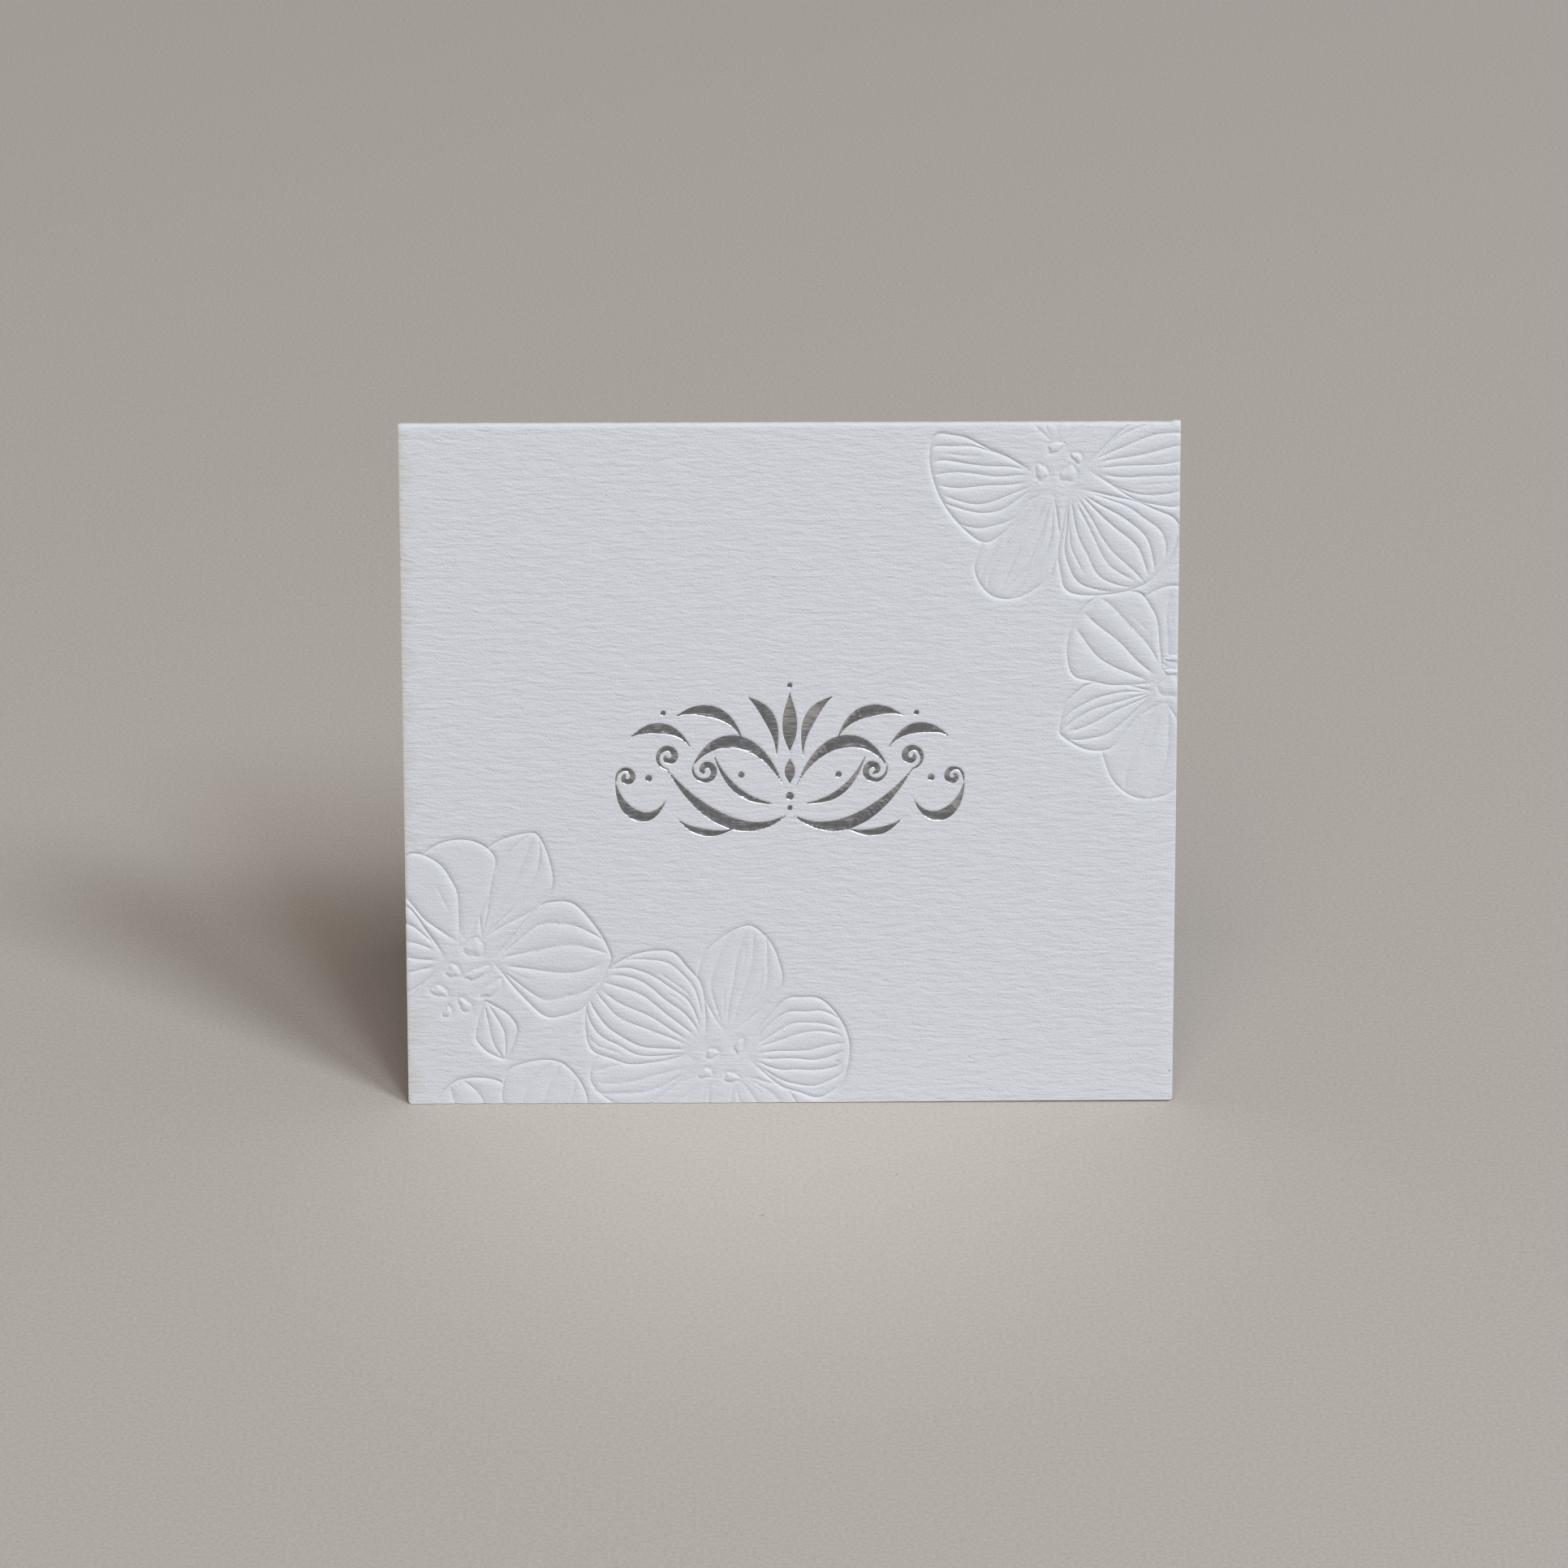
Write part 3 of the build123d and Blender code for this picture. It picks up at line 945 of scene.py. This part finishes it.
def closed_mesh(name, outer, inner, places):
    """A mesh of two faces with the same rim and the wall between them, and how many triangles the wall has.

    The places hold those of the outer face's points, and then those of the inner face's.
    """
    count = len(outer.points)
    wall = []
    for n in range(len(outer.rim)):
        a, b = outer.rim[n], outer.rim[(n + 1) % len(outer.rim)]
        c, d = inner.rim[n] + count, inner.rim[(n + 1) % len(inner.rim)] + count
        wall += [(b, a, c), (b, c, d)]
    under = upward(inner.points, inner.triangles)[:, ::-1] + count
    faces = np.vstack([upward(outer.points, outer.triangles), under, wall])
    mesh = bpy.data.meshes.new(name)
    mesh.from_pydata(places.tolist(), [], faces.tolist())
    mesh.update()
    return mesh, len(wall)


def upward(points, triangles):
    """The triangles, each turned so that it faces up."""
    a, b, c = (points[triangles[:, corner]] for corner in range(3))
    area = (b[:, 0] - a[:, 0]) * (c[:, 1] - a[:, 1]) - (b[:, 1] - a[:, 1]) * (c[:, 0] - a[:, 0])
    return np.where(area[:, None] < 0, triangles[:, ::-1], triangles)


def numbers(collection, name, width=1):
    """One property of every item of a mesh's collection, as an array."""
    values = np.empty(len(collection) * width, np.float64)
    collection.foreach_get(name, values)
    return values.reshape(-1, width) if width > 1 else values


def corner_points(mesh):
    """The point number of each corner of a mesh's faces."""
    return numbers(mesh.loops, "vertex_index").astype(int)


def add_sheet_map(mesh, places):
    """A UV map from each point's place on the flat sheet, in metres, so that patterns follow the board."""
    flat = places[corner_points(mesh), :2].astype(np.float32)
    mesh.uv_layers.new(name="sheet").data.foreach_set("uv", flat.ravel())


def add_values(mesh, name, domain, values):
    """A number attribute on the mesh's points or faces."""
    mesh.attributes.new(name, "FLOAT", domain).data.foreach_set("value", np.asarray(values, np.float32))


def parted(triangles):
    """The triangles renumbered so that patches that touch only in a point no longer share it.

    Also the old number of each new point. Corners that meet across a shared edge pass on the least of
    their numbers, until each fan of triangles has one number.
    """
    starts, ends = triangles.ravel(), np.roll(triangles, -1, axis=1).ravel()
    following = np.roll(np.arange(starts.size).reshape(-1, 3), -1, axis=1).ravel()
    corner_at = {edge: corner for corner, edge in enumerate(zip(starts.tolist(), ends.tolist()))}
    opposite = np.array([corner_at.get(edge, -1) for edge in zip(ends.tolist(), starts.tolist())])
    inner = np.flatnonzero(opposite >= 0)
    across = opposite[inner]
    fan = np.arange(starts.size)
    for _ in range(FAN_PASSES):
        for one, other in ((inner, following[across]), (following[inner], across)):
            least = np.minimum(fan[one], fan[other])
            np.minimum.at(fan, one, least)
            np.minimum.at(fan, other, least)
    first, renumbered = np.unique(fan, return_inverse=True)
    return renumbered.reshape(-1, 3), starts[first]


def film_mesh(name, mesh, mask, thickness):
    """A closed film over the faces that the mask marks, just clear of the mesh under it."""
    chosen = numbers(mesh.attributes[mask].data, "value") > 0.5
    corners = corner_points(mesh)
    triangles, used = parted(corners.reshape(-1, 3)[chosen])
    points = numbers(mesh.vertices, "co", 3)[used]
    normals = numbers(mesh.vertices, "normal", 3)[used]
    count = len(points)
    edges = np.vstack([triangles[:, [0, 1]], triangles[:, [1, 2]], triangles[:, [2, 0]]])
    rim = edges[~np.isin(edges[:, 0] * count + edges[:, 1], edges[:, 1] * count + edges[:, 0])]
    walls = [(b, a, a + count) for a, b in rim] + [(b, a + count, b + count) for a, b in rim]
    places = np.vstack([points + (1 + FILM_CLEARANCE) * thickness * normals,
                        points + FILM_CLEARANCE * thickness * normals])
    film = bpy.data.meshes.new(name)
    film.from_pydata(places.tolist(), [], np.vstack([triangles, triangles[:, ::-1] + count, walls]).tolist())
    film.update()
    flat = np.zeros((len(mesh.vertices), 2))
    flat[corners] = numbers(mesh.uv_layers["sheet"].data, "uv", 2)
    add_sheet_map(film, np.tile(flat[used], (2, 1)))
    return film


def give(tree, socket, value):
    """Links an input to another node's output, or sets it to a plain value."""
    if isinstance(value, bpy.types.NodeSocket):
        tree.links.new(value, socket)
    else:
        socket.default_value = value


def fill(tree, node, **values):
    """Gives some of a node's inputs by name. Returns the node."""
    for name, value in values.items():
        give(tree, node.inputs[name.replace("_", " ")], value)
    return node


def new_node(tree, kind, settings=None, **values):
    """A node with its settings, and with some of its inputs set or linked by name."""
    node = tree.nodes.new(kind)
    for name, value in (settings or {}).items():
        setattr(node, name, value)
    return fill(tree, node, **values)


def node_math(tree, operation, *values):
    """A math node between sockets or plain numbers. Returns its output."""
    node = new_node(tree, "ShaderNodeMath", {"operation": operation})
    for socket, value in zip(node.inputs, values):
        give(tree, socket, value)
    return node.outputs[0]


def vector_math(tree, operation, *values):
    """A vector math node between sockets or plain vectors. Returns its output."""
    node = new_node(tree, "ShaderNodeVectorMath", {"operation": operation})
    for socket, value in zip(node.inputs, values):
        give(tree, socket, value)
    return node.outputs["Value" if operation == "LENGTH" else "Vector"]


def noise(tree, place, dimensions="3D", **values):
    """The grey value of a noise pattern."""
    settings = {"noise_dimensions": dimensions}
    return new_node(tree, "ShaderNodeTexNoise", settings, Vector=place, **values).outputs["Fac"]


def new_group(name, kind, inputs, outputs):
    """An empty node group with named inputs and outputs. Returns it and the values that it is given."""
    group = bpy.data.node_groups.new(name, kind)
    for direction, sockets in (("INPUT", inputs), ("OUTPUT", outputs)):
        for label, value in sockets:
            group.interface.new_socket(label, in_out=direction, socket_type="NodeSocket" + value)
    return group, group.nodes.new("NodeGroupInput").outputs


def shared_group(name, build):
    """A node group that is built the first time that it is asked for."""
    return bpy.data.node_groups.get(name) or build(name)


def fold_tree(name):
    """Geometry Nodes that fold a flat sheet: x stays, y runs over the bend, z stands off the outer face."""
    sizes = [(size, "Float") for size in ("Panel Length", "Outer Radius", "Lean", "Centre Height")]
    inputs = [("Flat Sheet", "Geometry"), *sizes, ("Material", "Material")]
    tree, given = new_group(name, "GeometryNodeTree", inputs, [("Folded Sheet", "Geometry")])
    tree.is_modifier = True
    position = new_node(tree, "GeometryNodeInputPosition").outputs[0]
    place = new_node(tree, "ShaderNodeSeparateXYZ", Vector=position).outputs
    past = node_math(tree, "SUBTRACT", place["Y"], given["Panel Length"])
    widest = node_math(tree, "SUBTRACT", math.pi, node_math(tree, "MULTIPLY", given["Lean"], 2.0))
    turn = node_math(tree, "DIVIDE", past, given["Outer Radius"])
    turn = node_math(tree, "MINIMUM", node_math(tree, "MAXIMUM", turn, 0.0), widest)
    straight = node_math(tree, "SUBTRACT", past, node_math(tree, "MULTIPLY", turn, given["Outer Radius"]))
    angle = node_math(tree, "ADD", given["Lean"], turn)
    radius = node_math(tree, "ADD", given["Outer Radius"], place["Z"])
    sine = node_math(tree, "SINE", angle)
    cosine = node_math(tree, "COSINE", angle)
    depth = node_math(tree, "SUBTRACT", node_math(tree, "MULTIPLY", sine, straight),
                      node_math(tree, "MULTIPLY", cosine, radius))
    height = node_math(tree, "ADD", node_math(tree, "MULTIPLY", sine, radius),
                       node_math(tree, "MULTIPLY", cosine, straight))
    height = node_math(tree, "ADD", height, given["Centre Height"])
    folded = new_node(tree, "ShaderNodeCombineXYZ", X=place["X"], Y=depth, Z=height).outputs[0]
    moved = new_node(tree, "GeometryNodeSetPosition", Geometry=given["Flat Sheet"], Position=folded)
    realized = new_node(tree, "GeometryNodeRealizeInstances", Geometry=moved.outputs[0]).outputs[0]
    finished = new_node(tree, "GeometryNodeSetMaterial", Geometry=realized, Material=given["Material"])
    new_node(tree, "NodeGroupOutput", Folded_Sheet=finished.outputs[0])
    return tree


def folded_piece(name, mesh, layout, material):
    """An object made from a flat mesh by the fold, with the result kept as plain mesh."""
    piece = bpy.data.objects.new(name, mesh)
    bpy.context.scene.collection.objects.link(piece)
    tree = shared_group("Fold Sheet", fold_tree)
    values = {"Panel Length": layout.panel, "Outer Radius": layout.outer_radius, "Lean": layout.lean,
              "Centre Height": layout.centre_height, "Material": material}
    modifier = piece.modifiers.new("Fold", "NODES")
    modifier.node_group = tree
    for item in tree.interface.items_tree:
        if item.item_type == "SOCKET" and item.in_out == "INPUT" and item.name in values:
            modifier[item.identifier] = values[item.name]
    graph = bpy.context.evaluated_depsgraph_get()
    folded = bpy.data.meshes.new_from_object(piece.evaluated_get(graph), preserve_all_data_layers=True,
                                             depsgraph=graph)
    piece.modifiers.remove(modifier)
    piece.data = folded
    folded.name = name
    folded.shade_smooth()
    folded.set_sharp_from_angle(angle=SMOOTH_ANGLE)
    return piece


def felt_group(name):
    """Shader group for felt-marked board: uneven ribs across the sheet, and fine fibres between them."""
    inputs = [("Rib Spacing", "Float"), ("Rib Run", "Float"), ("Sheet Place", "Vector")]
    group, given = new_group(name, "ShaderNodeTree", inputs, [("Ribs", "Float"), ("Fibres", "Float")])
    drift = noise(group, given["Sheet Place"], Scale=180.0, Detail=1.0)
    place = new_node(group, "ShaderNodeSeparateXYZ", Vector=given["Sheet Place"]).outputs
    across = node_math(group, "DIVIDE", place["X"], given["Rib Run"])
    along = node_math(group, "DIVIDE", place["Y"], given["Rib Spacing"])
    along = node_math(group, "MULTIPLY_ADD", drift, 0.8, along)
    stretched = new_node(group, "ShaderNodeCombineXYZ", X=across, Y=along).outputs[0]
    wide = noise(group, stretched, "2D", Scale=1.25, Detail=2.0, Roughness=0.55)
    fine = noise(group, stretched, "2D", Scale=2.9, Detail=2.0, Roughness=0.6)
    ribs = node_math(group, "MULTIPLY_ADD", fine, 0.45, wide)
    fibres = noise(group, given["Sheet Place"], Scale=2100.0, Detail=3.0, Roughness=0.65)
    new_node(group, "NodeGroupOutput", Ribs=ribs, Fibres=fibres)
    return group


def new_material(name):
    """An empty material with a Principled shader. Returns the material, its tree and the shader."""
    material = bpy.data.materials.new(name)
    material.use_nodes = True
    tree = material.node_tree
    tree.nodes.clear()
    shader = new_node(tree, "ShaderNodeBsdfPrincipled")
    new_node(tree, "ShaderNodeOutputMaterial", Surface=shader.outputs[0])
    return material, tree, shader


def attribute_value(tree, name):
    """The value of one of the mesh's number attributes."""
    return new_node(tree, "ShaderNodeAttribute", {"attribute_name": name}).outputs["Fac"]


def felt_nodes(tree, finish):
    """The felt marking on this piece's own map of the flat sheet, and the places on that map."""
    place = new_node(tree, "ShaderNodeUVMap", {"uv_map": "sheet"}).outputs[0]
    settings = {"node_tree": shared_group("Felt Marking", felt_group)}
    felt = new_node(tree, "ShaderNodeGroup", settings, Rib_Spacing=finish.rib_spacing,
                    Rib_Run=finish.rib_run, Sheet_Place=place)
    return felt.outputs, place


def speck_group(name):
    """Shader group for one small dark speck: 1 inside an oval about its centre, 0 outside."""
    inputs = [("Place", "Vector"), ("Centre", "Vector"), ("Half Size", "Vector")]
    group, given = new_group(name, "ShaderNodeTree", inputs, [("Mask", "Float")])
    offset = vector_math(group, "SUBTRACT", given["Place"], given["Centre"])
    share = vector_math(group, "DIVIDE", offset, given["Half Size"])
    mask = node_math(group, "MULTIPLY_ADD", vector_math(group, "LENGTH", share), -2.0, 2.6)
    mask.node.use_clamp = True
    new_node(group, "NodeGroupOutput", Mask=mask)
    return group


def speck_tone(tree, place, specks):
    """1 on clean places and darker on the specks."""
    tone = 1.0
    for x, y, half_length, half_width in specks:
        settings = {"node_tree": shared_group("Speck", speck_group)}
        speck = new_node(tree, "ShaderNodeGroup", settings, Place=place, Centre=(x * MM, y * MM, 0),
                         Half_Size=(half_length * MM, half_width * MM, 1))
        tone = node_math(tree, "MULTIPLY_ADD", speck.outputs["Mask"], -SPECK_DARKNESS, tone)
    return tone


def scaled_colour(tree, colour, tone):
    """A colour made lighter or darker by a tone."""
    settings = {"operation": "SCALE"}
    return new_node(tree, "ShaderNodeVectorMath", settings, Vector=colour, Scale=tone).outputs[0]


def bumped(tree, height, strength, distance):
    """The normals of a surface that a height stands out from."""
    return new_node(tree, "ShaderNodeBump", Height=height, Strength=strength, Distance=distance).outputs[0]


def stock_material(finish):
    """Uncoated white felt-marked board: ribbed, matt, smoother where pressed, with warm cut edges, a painted
    highlight along the left cut edge and painted shade on the fold's crest.
    """
    material, tree, shader = new_material("card_stock")
    felt, place = felt_nodes(tree, finish)
    pressed = attribute_value(tree, "pressed")
    # The warm tint covers the cut walls and also paints a highlight along the left cut edge and shade on the
    # fold's crest.
    warm = node_math(tree, "MAXIMUM", attribute_value(tree, "cut_edge"), attribute_value(tree, "painted_edge_light_and_crest_shade"))
    shade = new_node(tree, "ShaderNodeMix", {"data_type": "RGBA"}, Factor=warm, A=(*finish.stock, 1),
                     B=(*finish.cut_edge, 1)).outputs["Result"]
    mottle = noise(tree, place, Scale=240.0, Detail=3.0)
    tone = node_math(tree, "MULTIPLY_ADD", mottle, 0.05, 0.975)
    tone = node_math(tree, "MULTIPLY", tone, speck_tone(tree, place, STOCK_SPECKS))
    rough = node_math(tree, "MULTIPLY_ADD", pressed, -0.5, 1.0)
    ribs = node_math(tree, "MULTIPLY", felt["Ribs"], rough)
    height = node_math(tree, "MULTIPLY_ADD", felt["Fibres"], 0.7, ribs)
    fill(tree, shader, Base_Color=scaled_colour(tree, shade, tone), Specular_IOR_Level=0.45,
         Roughness=node_math(tree, "MULTIPLY_ADD", pressed, -0.1, 0.75),
         Normal=bumped(tree, height, 1.0, finish.rib_height))
    return material


def foil_material(finish):
    """Bright silver stamping foil that takes up the board's ribs."""
    material, tree, shader = new_material("silver_foil")
    felt, place = felt_nodes(tree, finish)
    wear = noise(tree, place, Scale=900.0, Detail=3.0)
    height = node_math(tree, "MULTIPLY_ADD", felt["Fibres"], 0.1, felt["Ribs"])
    fill(tree, shader, Base_Color=(*finish.foil, 1), Metallic=1.0,
         Roughness=node_math(tree, "MULTIPLY_ADD", wear, 0.16, 0.18),
         Normal=bumped(tree, height, 0.43, finish.rib_height))
    return material


def floor_material(finish):
    """Plain matt paper floor with a faint grain, specks and a painted pool of light in front of the card,
    darker away from it.
    """
    material, tree, shader = new_material("floor_paper")
    place = new_node(tree, "ShaderNodeTexCoord").outputs["Object"]
    grain = noise(tree, place, Scale=1500.0, Detail=3.0)
    tone = node_math(tree, "MULTIPLY_ADD", grain, 0.4, 0.8)
    tone = node_math(tree, "MULTIPLY", tone, speck_tone(tree, place, FLOOR_SPECKS))
    # Painted light: the floor's tone is raised in a soft pool in front of the card and lowered away from it.
    share = vector_math(tree, "DIVIDE", vector_math(tree, "SUBTRACT", place, PAINTED_LIGHT_POOL), PAINTED_LIGHT_POOL_REACH)
    painted_pool = new_node(tree, "ShaderNodeMapRange", {"interpolation_type": "SMOOTHSTEP"},
                    Value=vector_math(tree, "LENGTH", share), To_Min=1.06, To_Max=0.94).outputs[0]
    tone = node_math(tree, "MULTIPLY", tone, painted_pool)
    fill(tree, shader, Base_Color=scaled_colour(tree, finish.floor, tone), Roughness=0.95,
         Specular_IOR_Level=0.15)
    return material


class CARD_OT_sheet(bpy.types.Operator):
    """Makes the folded sheet with its pressed blossoms and stamped places."""
    bl_idname = "greeting_card.sheet"
    bl_label = "Card Sheet"

    def execute(self, context):
        card = context.scene.greeting_card
        layout = sheet_layout(card.sheet)
        relief = Relief(card.blossoms, layout)
        flourish = Flourish(card.foil)
        outer, inner = sheet_faces(relief, flourish, layout, card.sheet)
        heights = outer_heights(outer.points, relief, flourish, layout, card.sheet)
        outer_places = settled(outer.points, heights, layout, card.sheet)
        heights = inner_heights(inner.points, relief, layout, card.sheet)
        inner_places = settled(inner.points, heights, layout, card.sheet)
        inner_places[:, 2] -= layout.thickness
        places = np.vstack([outer_places, inner_places])
        mesh, walls = closed_mesh("card_sheet", outer, inner, places)
        add_sheet_map(mesh, places)
        points = np.vstack([outer.points, inner.points])
        faces = len(mesh.polygons)
        add_values(mesh, "pressed", "POINT", relief.pressed(points))
        # A warm tint painted as a highlight along the left cut edge and as shade on the fold's crest.
        add_values(mesh, "painted_edge_light_and_crest_shade", "POINT", painted_edge_light_and_crest_shade(points, layout))
        add_values(mesh, "cut_edge", "FACE", np.arange(faces) >= faces - walls)
        middles = outer.points[outer.triangles].mean(axis=1)
        stamped = np.zeros(faces)
        stamped[:len(middles)] = flourish.foiled(middles)
        add_values(mesh, "stamped", "FACE", stamped)
        piece = folded_piece("card_sheet", mesh, layout, stock_material(card.finish))
        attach(piece, "root")
        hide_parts("card")
        return {"FINISHED"}


class CARD_OT_foil(bpy.types.Operator):
    """Makes the silver flourish that is stamped into the front panel of the card sheet."""
    bl_idname = "greeting_card.foil"
    bl_label = "Foil Flourish"

    def execute(self, context):
        card = context.scene.greeting_card
        sheet = bpy.data.objects["card_sheet"].data
        mesh = film_mesh("foil_flourish", sheet, "stamped", card.foil.film)
        mesh.materials.append(foil_material(card.finish))
        mesh.shade_smooth()
        mesh.set_sharp_from_angle(angle=SMOOTH_ANGLE)
        piece = bpy.data.objects.new("foil_flourish", mesh)
        context.scene.collection.objects.link(piece)
        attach(piece, "root")
        return {"FINISHED"}


def add_floor(context, half):
    """A square floor with a given half side."""
    corners = [(-half, -half, 0), (half, -half, 0), (half, half, 0), (-half, half, 0)]
    mesh = bpy.data.meshes.new("floor")
    mesh.from_pydata(corners, [], [(0, 1, 2, 3)])
    mesh.materials.append(floor_material(context.scene.greeting_card.finish))
    floor = bpy.data.objects.new("floor", mesh)
    context.scene.collection.objects.link(floor)


def add_lamp(context, lamp):
    """One of the lamps, in its place and turned to the card."""
    light = bpy.data.lights.new(lamp.name, "AREA")
    light.shape = "SQUARE"
    light.size = lamp.side
    light.energy = lamp.power
    light.color = lamp.colour
    place = bpy.data.objects.new(lamp.name, light)
    turn, tilt = math.radians(lamp.azimuth), math.radians(lamp.elevation)
    direction = Vector((math.cos(turn) * math.cos(tilt), math.sin(turn) * math.cos(tilt), math.sin(tilt)))
    place.location = LAMP_TARGET + direction * lamp.distance
    place.rotation_euler = direction.to_track_quat("Z", "Y").to_euler()
    context.scene.collection.objects.link(place)


def add_room(context, level):
    """An even white room of a given brightness."""
    world = bpy.data.worlds.new("studio")
    world.use_nodes = True
    background = world.node_tree.nodes["Background"]
    background.inputs["Color"].default_value = (1.0, 1.0, 1.0, 1)
    background.inputs["Strength"].default_value = level
    context.scene.world = world


def add_camera(context, settings):
    """The camera, in its place and looking down at the card."""
    lens = bpy.data.cameras.new("camera")
    lens.sensor_fit = "HORIZONTAL"
    lens.sensor_width = 36.0
    lens.lens = settings.camera_lens
    lens.clip_start = 0.05
    camera = bpy.data.objects.new("camera", lens)
    camera.location = settings.camera_place
    camera.rotation_euler = (math.pi / 2 - settings.camera_pitch, 0, settings.camera_yaw)
    context.scene.collection.objects.link(camera)
    context.scene.camera = camera


class CARD_OT_stage(bpy.types.Operator):
    """Makes the floor, the lamps, the room and the camera."""
    bl_idname = "greeting_card.stage"
    bl_label = "Stage"

    def execute(self, context):
        settings = context.scene.greeting_card.stage
        add_floor(context, settings.floor_size / 2)
        for lamp in LAMPS:
            add_lamp(context, lamp)
        add_room(context, settings.world_level)
        add_camera(context, settings)
        context.scene.view_settings.view_transform = "Standard"
        return {"FINISHED"}


class CARD_PT_panel(bpy.types.Panel):
    """Lists the card's pieces and their settings."""
    bl_idname = "CARD_PT_panel"
    bl_label = "Greeting Card"
    bl_space_type = "VIEW_3D"
    bl_region_type = "UI"
    bl_category = "Greeting Card"

    def draw(self, context):
        card = context.scene.greeting_card
        for operator in OPERATORS:
            self.layout.operator(operator.bl_idname)
        for group in (card.sheet, card.blossoms, card.foil, card.finish, card.stage):
            box = self.layout.box()
            for name in group.bl_rna.properties.keys():
                if name not in ("rna_type", "name"):
                    box.prop(group, name)


GROUPS = (CardSheetSizes, BlossomSizes, FoilSizes, CardFinish, StageSettings, GreetingCard)
OPERATORS = (CARD_OT_sheet, CARD_OT_foil, CARD_OT_stage)


def register():
    for kind in GROUPS + OPERATORS + (CARD_PT_panel,):
        bpy.utils.register_class(kind)
    bpy.types.Scene.greeting_card = PointerProperty(type=GreetingCard)


def unregister():
    del bpy.types.Scene.greeting_card
    for kind in reversed(GROUPS + OPERATORS + (CARD_PT_panel,)):
        bpy.utils.unregister_class(kind)


def main():
    """Makes every piece and the stage."""
    register()
    bpy.ops.greeting_card.sheet()
    bpy.ops.greeting_card.foil()
    bpy.ops.greeting_card.stage()


if __name__ == "__main__":
    main()
